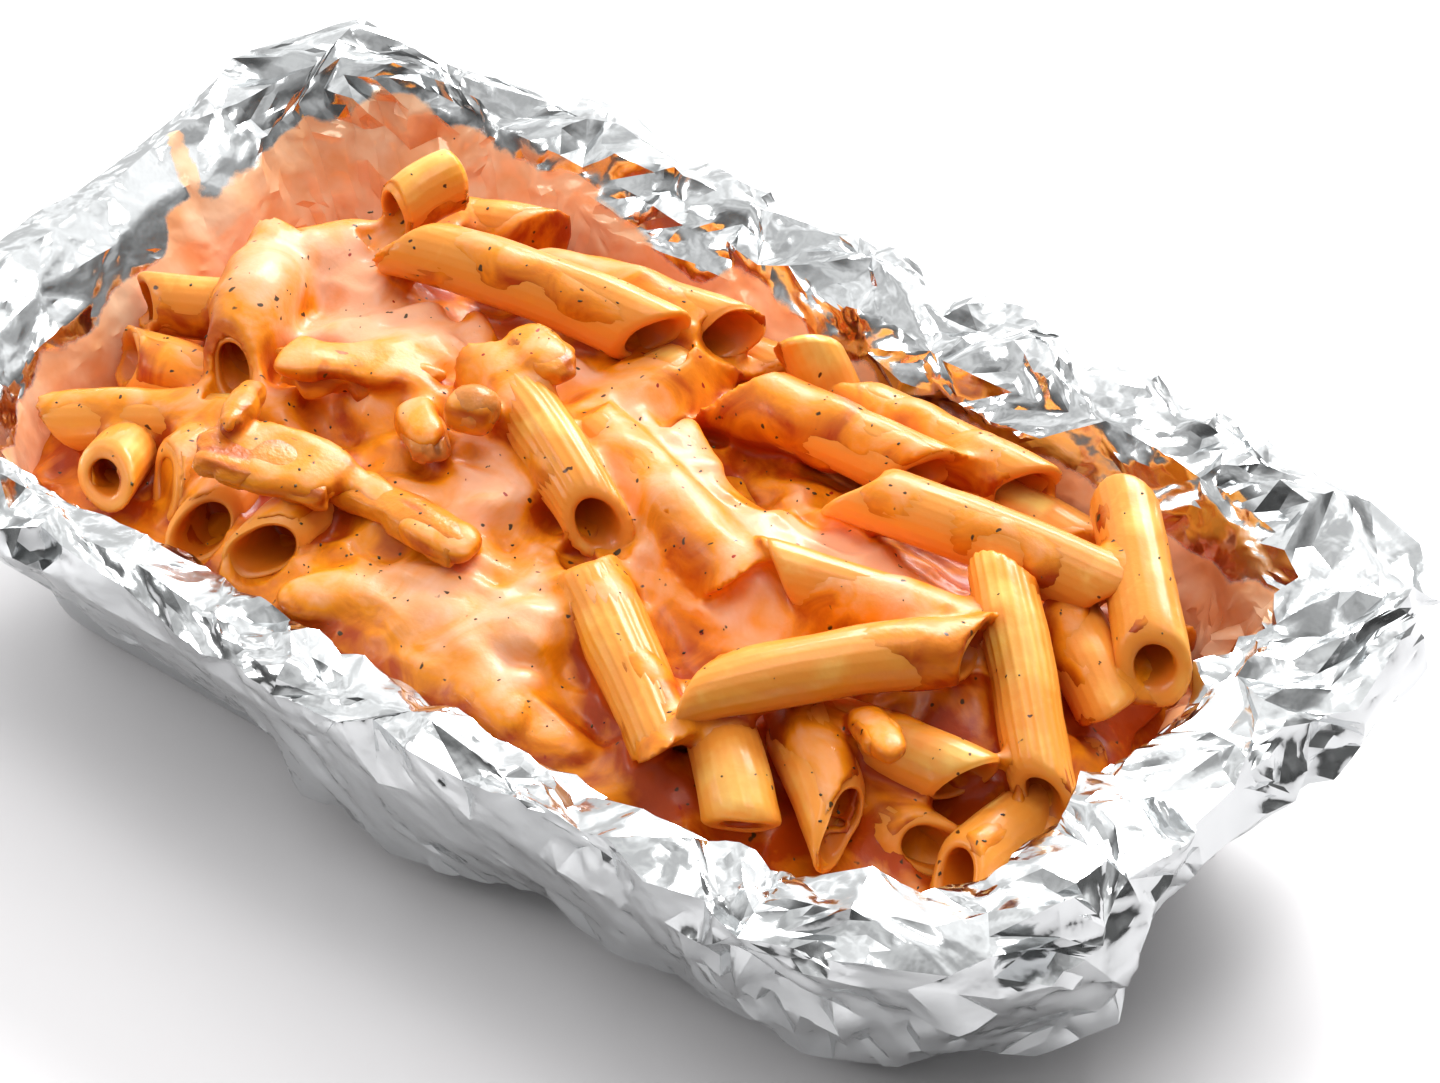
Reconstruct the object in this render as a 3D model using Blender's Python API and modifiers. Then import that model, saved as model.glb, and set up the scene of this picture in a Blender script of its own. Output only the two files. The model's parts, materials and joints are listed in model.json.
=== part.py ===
"""Foil tray meal: penne and chicken in a creamy sauce, in a pressed foil tray wrapped in crumpled foil.

The frame has its origin in the middle of the tray's flat underside, with +Z up and the long side along X.
Every height, width and place in the tables below is in millimetres; the meshes are in metres.
"""

import math
import random

import bmesh
import bpy
from mathutils import Matrix, Vector
from mathutils.bvhtree import BVHTree
from mathutils.noise import noise

MM = 0.001
SEED = 7

# The line of the foil's inner crest, seen from above, and how the tray's wall slants in below it
CREST_LENGTH = 198.0
CREST_WIDTH = 111.0
CREST_RADIUS = 24.0
CREST_HEIGHT = 43.0
BASE_INSET = 11.0

# The pressed tray
TRAY_THICKNESS = 0.6
TRAY_RIM_HEIGHT = 34.5
TRAY_RIM_WIDTH = 4.0
TRAY_BEAD = 1.6
TRAY_FILLET = 6.0
CORNER_STEPS = 7

# The crumpled foil
FOIL_THICKNESS = 0.7
FOIL_STATIONS = 66
NECK_ROW = 4
FOIL_LOW_EDGE = 8.0
FOIL_WALL_GAP = 2.6
FOIL_OVER_RIM = 36.0
FOIL_ROLL_DROP = 7.5
FOIL_RIM_CLEARANCE = 2.4
FOIL_HEM_CLEARANCE = 3.0
FOIL_ROLL_RISE = 1.2
CRUMPLE_SLIP = 0.32
CRUMPLE_MIX = 0.2
CRUMPLE_IN = 1.5
CRUMPLE_OFFSET = (-2.2, 2.6)
CRUMPLE_HEIGHT = (-1.2, 1.8)

# The heap of food
HEAP_BOTTOM = 1.1
HEAP_WALL_GAP = 5.0
HEAP_LEAN = 1.5
HEAP_STATIONS = 44
HEAP_RINGS = 7
TOUCH_GAP = 0.4

# One piece of penne
PENNE_RADIUS = 5.2
PENNE_BORE = 2.8
PENNE_SIDES = 10
PENNE_BORE_DEPTH = 8.0
PENNE_CUT = math.radians(40)
PENNE_GAP_STEP = 0.13

# The chunks, and the rays that find how high each one lies
CHUNK_SQUARENESS = 0.45
CHUNK_ROUGHNESS = 0.22
CHUNK_SWELL = 1.2
DROP_HEIGHT = 200.0
DROP_RAYS = 24

# The blanket of sauce
SAUCE_CENTRE = (-2.0, -9.0)
SAUCE_REACH = (76.0, 41.0)
SAUCE_RISE = 2.0
SAUCE_THICKNESS = 2.6
SAUCE_EDGE_THICKNESS = 1.0
SAUCE_STATIONS = 40
SAUCE_RINGS = 8

# How the foil lies at places around the crest. Each place is a share of the way round, from the middle of
# the near long side towards +X. Then follow the crest's lift, its bow outward, the width of the roll,
# the height of the hem and how far the hem stands off the tray's wall.
FOIL_PLACES = (
    (0.00, -1.0, 0.5, 9.0, 6.0, 8.0),
    (0.03, -1.0, 0.5, 9.0, 7.0, 6.0),
    (0.07, -1.0, -0.5, 9.0, 8.0, 4.0),
    (0.12, 0.0, -3.0, 11.0, 10.0, 3.0),
    (0.155, 1.0, -6.0, 16.0, 9.0, 2.0),
    (0.18, -1.0, -3.0, 15.0, 9.0, 4.0),
    (0.195, -1.0, -2.0, 17.0, 10.0, 12.0),
    (0.205, -1.0, -1.5, 17.0, 11.0, 21.0),
    (0.22, -1.0, -1.5, 16.0, 18.0, 17.0),
    (0.235, -1.0, -1.0, 15.0, 22.0, 12.0),
    (0.27, -1.0, 0.5, 14.0, 22.0, 12.0),
    (0.30, -1.0, 0.5, 16.0, 24.0, 14.0),
    (0.325, 0.0, 1.5, 19.0, 28.0, 20.0),
    (0.345, 2.0, 0.0, 19.0, 28.0, 19.0),
    (0.36, 4.0, -1.0, 15.0, 26.0, 9.0),
    (0.40, 5.0, 0.0, 14.0, 24.0, 7.0),
    (0.45, 5.0, -2.0, 15.0, 24.0, 7.0),
    (0.50, 6.0, 0.0, 13.0, 24.0, 7.0),
    (0.56, 6.0, 1.0, 12.0, 24.0, 7.0),
    (0.595, 8.0, 0.0, 15.0, 24.0, 7.0),
    (0.63, 8.0, 0.0, 9.0, 24.0, 7.0),
    (0.65, 10.0, 1.0, 8.0, 24.0, 8.0),
    (0.663, 16.0, 3.0, 11.0, 24.0, 8.0),
    (0.675, 13.0, 3.0, 12.0, 24.0, 8.0),
    (0.69, 10.0, 2.0, 14.0, 24.0, 9.0),
    (0.73, 9.0, 1.0, 16.0, 24.0, 10.0),
    (0.78, 8.0, 1.0, 16.0, 24.0, 10.0),
    (0.83, 3.0, 0.0, 12.0, 22.0, 7.0),
    (0.86, 0.0, -1.0, 9.0, 18.0, 4.0),
    (0.90, -1.0, -0.5, 9.0, 14.0, 3.0),
    (0.945, -1.0, -0.3, 9.0, 12.0, 3.0),
    (0.98, -1.0, 0.3, 9.0, 6.0, 8.0),
)

# Top of the core under the pasta, row by row from the near wall to the far wall
HEAP_X = (-96.0, -64.0, -32.0, 0.0, 32.0, 64.0, 96.0)
HEAP_Y = (-54.0, -27.0, 0.0, 27.0, 54.0)
HEAP_TOP = (
    (27.0, 34.0, 38.0, 38.5, 36.0, 27.0, 21.0),
    (29.0, 38.0, 43.0, 43.0, 39.0, 29.0, 24.0),
    (31.0, 42.0, 45.0, 44.0, 41.0, 36.0, 27.0),
    (31.0, 44.0, 43.0, 40.0, 38.0, 34.0, 17.0),
    (27.0, 34.0, 31.0, 28.0, 28.0, 23.0, 12.0),
)

# Each piece of penne: its name, one end, the other end, the way that the second end's slanting cut faces,
# in degrees about the piece from straight up, and which ends show their bore.
PENNE = (
    ("top_left_stub", (-62, 34, 55), (-65, 20, 51), 60, "b"),
    ("top_left_sunk", (-62, 34, 45), (-77, 10, 44), 0, ""),
    ("left_leaning", (-80, 12, 46), (-63, -22, 45), 40, "b"),
    ("left_far_open", (-70, 3, 39), (-94, -9, 40), 200, "b"),
    ("left_split", (-62, -15, 39), (-89, -18, 36), 200, "b"),
    ("left_long", (-48, -16, 40), (-85, -35, 35), 180, ""),
    ("left_ring", (-76, -26, 31), (-66, -45, 39), 70, "b"),
    ("left_filled", (-60, -22, 36), (-58, -40, 39), 60, ""),
    ("near_ring_back", (-53, -21, 33), (-46, -44, 38), 330, "b"),
    ("near_ring_front", (-38, -18, 36), (-33, -44, 41), 300, "b"),
    ("top_long", (-57, 18, 52), (-15, 28, 48), 110, "b"),
    ("far_ring", (-44, 33, 43), (-9, 40, 44), 80, "b"),
    ("far_short", (-24, 44, 33), (-1, 46, 34), 90, ""),
    ("far_upright", (3, 44, 41), (15, 44, 30), 90, ""),
    ("far_open", (12, 43, 38), (47, 43, 38.5), 112, "b"),
    ("far_behind", (24, 45, 31), (60, 43, 32), 90, ""),
    ("middle_far_open", (4, 29, 43), (35, 33, 42), 110, "b"),
    ("middle_far_long", (32, 19, 46), (74, 29, 41), 170, "b"),
    ("corner_leaning", (65, 44, 43), (88, 19, 40), 30, "b"),
    ("corner_low", (62, 33, 25), (78, 38, 25), 90, ""),
    ("right_long", (42, -32, 45), (67, 3, 43.5), 118, "b"),
    ("right_ridged", (61, 18, 43), (88, -8, 33), 60, "b"),
    ("right_low", (64, 27, 36), (84, 14, 33), 200, "b"),
    ("middle_wedge", (66, 11, 37), (36, -5, 46), 230, ""),
    ("middle_bright", (-25, 3, 48), (7, -12, 46), 40, "b"),
    ("middle_long", (-12, 7, 46), (27, -6, 44), 200, ""),
    ("near_ridged", (9, -18, 43), (42, -39, 40), 200, "a"),
    ("near_elbow", (35, -22, 36), (58, -41, 35), 160, "b"),
    ("near_curl", (46, -14, 33), (69, -30, 32), 40, "b"),
    ("right_scoop", (48, -16, 34), (77, -12, 34), 160, "b"),
    ("corner_open", (46, -20, 27), (77, -22, 28), 50, "b"),
    ("corner_near", (84, 8, 24), (85, -26, 29), 30, "b"),
    ("left_deep", (-70, -30, 27), (-88, -28, 28), 90, ""),
    ("far_left_sunk", (-72, 34, 40), (-52, 43, 41), 80, ""),
    ("middle_crossing", (-13, 10, 40), (-11, 36, 41), 0, ""),
)

# Each chunk: its name, the middle, the size along, across and up, its turn about Z and its tilt
CHUNKS = (
    ("chicken_slab", (-40, -32), (22, 15, 4), 25, 14),
    ("chicken_strip", (-17, -28), (24, 8, 4), -6, -4),
    ("chicken_curl", (-47, -8), (24, 8, 4), 35, 6),
    ("chicken_upright", (-54, -25), (17, 6, 5), 112, 10),
    ("chicken_torn", (-22, 8), (14, 8, 4), -20, 0),
    ("chicken_near", (66, -19), (14, 6, 4), -30, -10),
    ("mushroom_round", (-20, -9), (9, 9, 7), 20, 0),
    ("mushroom_dark", (-28, -13), (12, 7, 5), -35, 0),
)

COLOURS = {
    "tray_foil": ((0.80, 0.81, 0.82, 1.0), 0.30, 1.0),
    "crumpled_foil": ((0.86, 0.87, 0.88, 1.0), 0.20, 1.0),
    "penne": ((0.88, 0.42, 0.10, 1.0), 0.30, 0.0),
    "sauce": ((0.86, 0.42, 0.22, 1.0), 0.22, 0.0),
    "chicken": ((0.66, 0.32, 0.13, 1.0), 0.40, 0.0),
    "mushroom": ((0.42, 0.19, 0.06, 1.0), 0.30, 0.0),
}


def clear_scene():
    """Removes every object that the file opened with."""
    for item in list(bpy.data.objects):
        bpy.data.objects.remove(item, do_unlink=True)


def make_material(name):
    """Returns a Principled material with the colour, roughness and metallic value of one finish."""
    colour, roughness, metallic = COLOURS[name]
    material = bpy.data.materials.new(name)
    material.use_nodes = True
    shader = material.node_tree.nodes["Principled BSDF"]
    shader.inputs["Base Color"].default_value = colour
    shader.inputs["Roughness"].default_value = roughness
    shader.inputs["Metallic"].default_value = metallic
    return material


def make_object(name, mesh, collection, material=None):
    """Links a new object that carries the mesh."""
    item = bpy.data.objects.new(name, mesh)
    if material:
        mesh.materials.append(material)
    collection.objects.link(item)
    return item


def mesh_from(name, verts, faces, closed=True):
    """Builds a mesh from points in millimetres; a closed one has its faces turned outward."""
    bm = bmesh.new()
    made = [bm.verts.new(Vector(v) * MM) for v in verts]
    for face in faces:
        bm.faces.new([made[i] for i in face])
    if closed:
        bmesh.ops.recalc_face_normals(bm, faces=bm.faces)
    mesh = bpy.data.meshes.new(name)
    bm.to_mesh(mesh)
    bm.free()
    return mesh


def wall_offset(z):
    """Returns how far the tray's wall stands outside the crest line at a height."""
    return -BASE_INSET * (1 - z / CREST_HEIGHT)


def crest_point(share, offset=0.0):
    """Returns a point of the crest line, moved outward by offset, and the outward direction there."""
    half_x = CREST_LENGTH / 2 - CREST_RADIUS
    half_y = CREST_WIDTH / 2 - CREST_RADIUS
    arc = math.pi / 2 * CREST_RADIUS
    sides = (half_x, arc, 2 * half_y, arc, 2 * half_x, arc, 2 * half_y, arc, half_x)
    run = (share % 1.0) * sum(sides)
    turn = -math.pi / 2
    x, y = 0.0, -half_y
    for number, side in enumerate(sides):
        step = min(run, side)
        if number % 2:
            turn += step / CREST_RADIUS
        else:
            x -= math.sin(turn) * step
            y += math.cos(turn) * step
        run -= step
        if run <= 0:
            break
    out = Vector((math.cos(turn), math.sin(turn), 0.0))
    return Vector((x, y, 0.0)) + out * (CREST_RADIUS + offset), out


def crest_distance(x, y):
    """Returns how far a point lies outside the crest line, below zero inside it."""
    qx = abs(x) - (CREST_LENGTH / 2 - CREST_RADIUS)
    qy = abs(y) - (CREST_WIDTH / 2 - CREST_RADIUS)
    outside = math.hypot(max(qx, 0.0), max(qy, 0.0))
    return outside + min(max(qx, qy), 0.0) - CREST_RADIUS


def ease(t):
    """Returns a smooth step from 0 to 1."""
    return t * t * (3 - 2 * t)


def place_values(share):
    """Returns the foil's lift, bow, roll, hem height and flare at a share of the way round."""
    share %= 1.0
    places = FOIL_PLACES + ((1.0, *FOIL_PLACES[0][1:]),)
    for here, after in zip(places, places[1:]):
        if share <= after[0]:
            t = ease((share - here[0]) / (after[0] - here[0]))
            return [a + (b - a) * t for a, b in zip(here[1:], after[1:])]
    return list(places[0][1:])


def foil_section(share):
    """Returns the foil's section there: offset and height pairs from the low inner edge to the hem."""
    lift, bow, roll, hem, flare = place_values(share)
    crest = CREST_HEIGHT + lift
    climb = [FOIL_LOW_EDGE + (FOIL_OVER_RIM - FOIL_LOW_EDGE) * k / 3 for k in range(4)]
    inner = [(wall_offset(z) - FOIL_WALL_GAP, z) for z in climb]
    over_rim = inner[-1]
    neck = ((over_rim[0] + bow) / 2, (over_rim[1] + crest) / 2)
    top = [neck, (bow, crest), (bow + roll / 2, crest + FOIL_ROLL_RISE), (bow + roll, crest - 0.5)]
    side = (bow + roll + 0.5, crest - FOIL_ROLL_DROP)
    edge = (wall_offset(hem) + flare, hem)
    tuck = ((side[0] + edge[0]) / 2, (side[1] + edge[1]) / 2)
    return inner + top + [side, tuck, edge]


def crumple(point, row, rng):
    """Returns a section point after the crumpling, kept off the tray's wall and rim."""
    offset, height = point
    if row < NECK_ROW:
        return offset - rng.uniform(0.0, CRUMPLE_IN), height
    offset += rng.uniform(*CRUMPLE_OFFSET)
    height += rng.uniform(*CRUMPLE_HEIGHT)
    if row <= NECK_ROW + 1:
        offset = min(offset, point[0])
        height = max(height, point[1])
    if row > NECK_ROW + 2 and height > TRAY_RIM_HEIGHT - FOIL_ROLL_DROP:
        offset = max(offset, TRAY_RIM_WIDTH + FOIL_RIM_CLEARANCE)
    if row > NECK_ROW + 3:
        offset = max(offset, wall_offset(height) + FOIL_HEM_CLEARANCE)
    return offset, height


def foil_surface(name):
    """Builds the open crumpled band: facets of uneven size, each quad split along a chance diagonal."""
    rng = random.Random(SEED)
    rows = len(foil_section(0.0))
    verts = []
    for station in range(FOIL_STATIONS):
        for row in range(rows):
            slip = rng.uniform(-CRUMPLE_SLIP, CRUMPLE_SLIP) if 0 < row < rows - 1 else 0.0
            share = (station + slip) / FOIL_STATIONS
            section = foil_section(share)
            here = section[row]
            if 0 < row < rows - 1 and row not in (NECK_ROW - 1, NECK_ROW + 1):
                mix = rng.uniform(-CRUMPLE_MIX, CRUMPLE_MIX)
                other = section[row + (1 if mix > 0 else -1)]
                here = tuple(a + (b - a) * abs(mix) for a, b in zip(here, other))
            offset, height = crumple(here, row, rng)
            point, _ = crest_point(share, offset)
            verts.append((point.x, point.y, height))
    faces = []
    for station in range(FOIL_STATIONS):
        left = station * rows
        right = (station + 1) % FOIL_STATIONS * rows
        for row in range(rows - 1):
            a, b, c, d = left + row, right + row, right + row + 1, left + row + 1
            faces += [(a, b, c), (a, c, d)] if rng.random() < 0.5 else [(a, b, d), (b, c, d)]
    return mesh_from(name, verts, faces, closed=False)


def build_foil(collection, material):
    """Makes the crumpled foil that lines the tray's wall, rolls over its rim and hangs outside it."""
    item = make_object("foil_wrap", foil_surface("foil_wrap"), collection, material)
    solid = item.modifiers.new("thickness", "SOLIDIFY")
    solid.thickness = FOIL_THICKNESS * MM
    solid.offset = 1.0
    return item


def tray_section():
    """Returns the tray's outer section from its flat bottom to its beaded rim."""
    rim = TRAY_RIM_HEIGHT
    wall_foot = wall_offset(TRAY_FILLET)
    foot = wall_offset(0) - TRAY_FILLET
    points = [(foot, 0.0)]
    for k in (1, 2):
        angle = math.pi / 2 * k / 3
        points.append((foot + TRAY_FILLET * math.sin(angle), TRAY_FILLET * (1 - math.cos(angle))))
    points.append((wall_foot, TRAY_FILLET))
    points.append((wall_offset(rim), rim))
    points.append((TRAY_RIM_WIDTH - 0.5, rim))
    points.append((TRAY_RIM_WIDTH, rim - 0.5))
    points.append((TRAY_RIM_WIDTH, rim - TRAY_BEAD))
    return points


def ring_shares():
    """Returns the shares of the way round at which the tray's rings have points, dense at the corners."""
    half_x = CREST_LENGTH / 2 - CREST_RADIUS
    half_y = CREST_WIDTH / 2 - CREST_RADIUS
    arc = math.pi / 2 * CREST_RADIUS
    whole = 4 * (half_x + half_y + arc)
    turn = arc + 2 * half_y
    starts = (half_x, half_x + turn, 3 * half_x + arc + turn, 3 * half_x + arc + 2 * turn)
    shares = [0.0, 0.5]
    for start in starts:
        shares += [(start + arc * k / CORNER_STEPS) / whole for k in range(CORNER_STEPS + 1)]
    return sorted(shares)


def build_tray(collection, material):
    """Makes the smooth pressed tray: rounded rings from the flat bottom to the rim, given a thickness."""
    shares = ring_shares()
    section = tray_section()
    verts = []
    for offset, height in section:
        for share in shares:
            point, _ = crest_point(share, offset)
            verts.append((point.x, point.y, height))
    count = len(shares)
    faces = [tuple(range(count - 1, -1, -1))]
    for row in range(len(section) - 1):
        for k in range(count):
            after = (k + 1) % count
            low, high = row * count, (row + 1) * count
            faces.append((low + k, low + after, high + after, high + k))
    mesh = mesh_from("tray", verts, faces, closed=False)
    item = make_object("tray", mesh, collection, material)
    solid = item.modifiers.new("thickness", "SOLIDIFY")
    solid.thickness = TRAY_THICKNESS * MM
    solid.offset = -1.0
    mesh.shade_smooth()
    mesh.set_sharp_from_angle(angle=math.radians(40))
    return item


def heap_height(x, y):
    """Returns the height of the core under the pasta."""
    x = min(max(x, HEAP_X[0]), HEAP_X[-1])
    y = min(max(y, HEAP_Y[0]), HEAP_Y[-1])
    i = min(int((x - HEAP_X[0]) / (HEAP_X[1] - HEAP_X[0])), len(HEAP_X) - 2)
    j = min(int((y - HEAP_Y[0]) / (HEAP_Y[1] - HEAP_Y[0])), len(HEAP_Y) - 2)
    u = ease((x - HEAP_X[i]) / (HEAP_X[1] - HEAP_X[0]))
    v = ease((y - HEAP_Y[j]) / (HEAP_Y[1] - HEAP_Y[0]))
    near = HEAP_TOP[j][i] * (1 - u) + HEAP_TOP[j][i + 1] * u
    far = HEAP_TOP[j + 1][i] * (1 - u) + HEAP_TOP[j + 1][i + 1] * u
    return near * (1 - v) + far * v


def core_mesh():
    """Builds the core of the heap: a domed top on rings that follow the tray's wall down to its floor."""
    verts = []
    edge = []
    for k in range(HEAP_STATIONS):
        share = k / HEAP_STATIONS
        point, _ = crest_point(share, -HEAP_WALL_GAP - 5)
        height = heap_height(point.x, point.y)
        point, _ = crest_point(share, wall_offset(height) - HEAP_WALL_GAP)
        edge.append((point, height))
    for ring in range(HEAP_RINGS):
        scale = (ring + 1) / HEAP_RINGS
        for point, height in edge:
            x, y = point.x * scale, point.y * scale
            z = heap_height(x, y) if ring < HEAP_RINGS - 1 else height
            verts.append((x, y, z))
    for height, inset in ((TRAY_FILLET + 2, 0.0), (HEAP_BOTTOM, TRAY_FILLET)):
        for k in range(HEAP_STATIONS):
            offset = wall_offset(height) - HEAP_WALL_GAP - inset
            point, _ = crest_point(k / HEAP_STATIONS, offset)
            verts.append((point.x, point.y, height))
    middle = len(verts)
    verts.append((0.0, 0.0, heap_height(0.0, 0.0)))
    faces = [(middle, k, (k + 1) % HEAP_STATIONS) for k in range(HEAP_STATIONS)]
    for ring in range(HEAP_RINGS + 1):
        for k in range(HEAP_STATIONS):
            after = (k + 1) % HEAP_STATIONS
            low, high = ring * HEAP_STATIONS, (ring + 1) * HEAP_STATIONS
            faces.append((low + k, high + k, high + after, low + after))
    last = (HEAP_RINGS + 1) * HEAP_STATIONS
    faces.append(tuple(range(last, last + HEAP_STATIONS)))
    return mesh_from("core", verts, faces)


def press_inside(point, gap):
    """Returns the point, moved towards the middle until it clears the foil on the wall by a gap."""
    x, y, z = point
    rise = min(max((z - FOIL_OVER_RIM) / 4, 0.0), 1.0)
    limit = wall_offset(min(z, CREST_HEIGHT)) - gap + HEAP_LEAN * rise
    for _ in range(4):
        over = crest_distance(x, y) - limit
        if over <= 0:
            break
        step = 0.01
        slope_x = (crest_distance(x + step, y) - crest_distance(x - step, y)) / (2 * step)
        slope_y = (crest_distance(x, y + step) - crest_distance(x, y - step)) / (2 * step)
        x -= slope_x * over
        y -= slope_y * over
    return x, y, z


def penne_mesh(number, swell=0.0):
    """Builds one piece of penne: a slightly bent tube, cut aslant at both ends, open where it shows."""
    name, start, end, facing, bores = PENNE[number]
    gap = HEAP_WALL_GAP + PENNE_GAP_STEP * (1 + number % 7) - swell
    start, end = Vector(start), Vector(end)
    along = (end - start).normalized()
    side = along.cross(Vector((0.0, 0.0, 1.0))).normalized()
    up = side.cross(along)
    radius = PENNE_RADIUS + swell
    turn = math.radians(facing)
    slant = radius * math.tan(PENNE_CUT)

    def ring(centre, size, lean, sink=0.0):
        points = []
        for k in range(PENNE_SIDES):
            angle = math.tau * k / PENNE_SIDES
            round_part = (up * math.cos(angle) + side * math.sin(angle)) * size
            slope = -lean * math.cos(angle - turn) * slant * size / radius
            points.append(centre + round_part + along * (slope - sink))
        return points

    middle = (start + end) / 2 + up * 0.8
    grow = along * swell
    rings = [ring(start - grow, radius, 1.0), ring(middle, radius, 0.0), ring(end + grow, radius, 1.0)]
    faces = []
    count = PENNE_SIDES
    for row in range(2):
        for k in range(count):
            after = (k + 1) % count
            faces.append((row * count + k, row * count + after, (row + 1) * count + after, (row + 1) * count + k))
    for letter, row, centre, way in (("a", 0, start, -1.0), ("b", 2, end, 1.0)):
        if letter not in bores or swell:
            faces.append(tuple(range(row * count, row * count + count)))
            continue
        first = len(rings) * count
        rings.append(ring(centre, PENNE_BORE, 1.0))
        rings.append(ring(centre, PENNE_BORE, 0.0, way * PENNE_BORE_DEPTH))
        for k in range(count):
            after = (k + 1) % count
            faces.append((row * count + k, row * count + after, first + after, first + k))
            faces.append((first + k, first + after, first + count + after, first + count + k))
        faces.append(tuple(range(first + count, first + 2 * count)))
    verts = [press_inside(p, gap) for points in rings for p in points]
    return mesh_from(name, verts, faces)


def join_all(item, others, operation="UNION"):
    """Applies one Boolean of a collection to the item, and removes the collection with its objects."""
    tools = bpy.data.collections.new(item.name + "_tools")
    bpy.context.scene.collection.children.link(tools)
    for mesh in others:
        make_object(mesh.name, mesh, tools)
    boolean = item.modifiers.new("join", "BOOLEAN")
    boolean.operation = operation
    boolean.operand_type = "COLLECTION"
    boolean.collection = tools
    boolean.solver = "MANIFOLD"
    shape = item.evaluated_get(bpy.context.evaluated_depsgraph_get())
    result = bpy.data.meshes.new_from_object(shape)
    item.modifiers.clear()
    old = item.data
    item.data = result
    bpy.data.meshes.remove(old)
    for tool in list(tools.objects):
        bpy.data.objects.remove(tool, do_unlink=True)
    bpy.data.collections.remove(tools)


def keep_largest(item):
    """Drops every loose scrap and sealed hollow, leaving the item's largest shell."""
    bm = bmesh.new()
    bm.from_mesh(item.data)
    bmesh.ops.triangulate(bm, faces=bm.faces)
    left = set(bm.verts)
    shells = []
    while left:
        queue = [left.pop()]
        shell = set(queue)
        while queue:
            for edge in queue.pop().link_edges:
                for vert in edge.verts:
                    if vert in left:
                        left.discard(vert)
                        shell.add(vert)
                        queue.append(vert)
        shells.append(shell)
    shells.sort(key=len, reverse=True)
    for shell in shells[1:]:
        bmesh.ops.delete(bm, geom=list(shell), context="VERTS")
    bm.to_mesh(item.data)
    bm.free()


def build_heap(collection, material):
    """Makes the heap: the core with the pasta that shows fused onto it."""
    item = make_object("penne_heap", core_mesh(), collection, material)
    join_all(item, [penne_mesh(number) for number in range(len(PENNE))])
    keep_largest(item)
    return item


def chunk_mesh(row, swell=0.0):
    """Builds one torn chunk: a rough rounded block with uneven faces, not yet laid on the heap."""
    name, (x, y), size, turn, tilt = row
    bm = bmesh.new()
    bmesh.ops.create_icosphere(bm, subdivisions=2, radius=0.5)
    spin = Matrix.Rotation(math.radians(turn), 3, "Z") @ Matrix.Rotation(math.radians(tilt), 3, "Y")
    for vert in bm.verts:
        way = vert.co.normalized()
        square = way / max(abs(way.x), abs(way.y), abs(way.z)) * 0.5
        shape = vert.co.lerp(square, CHUNK_SQUARENESS)
        rough = 1 + CHUNK_ROUGHNESS * noise(way * 1.7 + Vector((x, y, 0.0)))
        block = Vector(((size[0] + swell) * shape.x, (size[1] + swell) * shape.y, (size[2] + swell) * shape.z))
        vert.co = spin @ (block * rough) * MM + Vector((x, y, 0.0)) * MM
    mesh = bpy.data.meshes.new(name)
    bm.to_mesh(mesh)
    bm.free()
    return mesh


def drop_onto(mesh, ground_tree):
    """Returns how far up the mesh moves so that it lies just clear of what is below it."""
    drop = Vector((0.0, 0.0, -1.0))
    high = DROP_HEIGHT * MM
    need = -high
    bm = bmesh.new()
    bm.from_mesh(mesh)
    own = BVHTree.FromBMesh(bm)
    bm.free()
    low = [min(v.co[i] for v in mesh.vertices) for i in range(2)]
    top = [max(v.co[i] for v in mesh.vertices) for i in range(2)]
    for i in range(DROP_RAYS + 1):
        for j in range(DROP_RAYS + 1):
            x = low[0] + (top[0] - low[0]) * i / DROP_RAYS
            y = low[1] + (top[1] - low[1]) * j / DROP_RAYS
            under = own.ray_cast(Vector((x, y, -high)), -drop)[0]
            ground = ground_tree.ray_cast(Vector((x, y, high)), drop)[0]
            if under and ground:
                need = max(need, ground.z - under.z)
    return need + TOUCH_GAP * MM


def build_chunks(collection, materials, heap):
    """Makes the chunks, each laid on the heap, and returns swollen copies for cutting the sauce."""
    laid = bmesh.new()
    laid.from_mesh(heap.data)
    cutters = []
    for row in CHUNKS:
        mesh = chunk_mesh(row)
        lift = Matrix.Translation((0.0, 0.0, drop_onto(mesh, BVHTree.FromBMesh(laid))))
        mesh.transform(lift)
        laid.from_mesh(mesh)
        make_object(row[0], mesh, collection, materials[row[0].split("_")[0]])
        copy = chunk_mesh(row, CHUNK_SWELL)
        copy.transform(lift)
        cutters.append(copy)
    laid.free()
    return cutters


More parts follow.
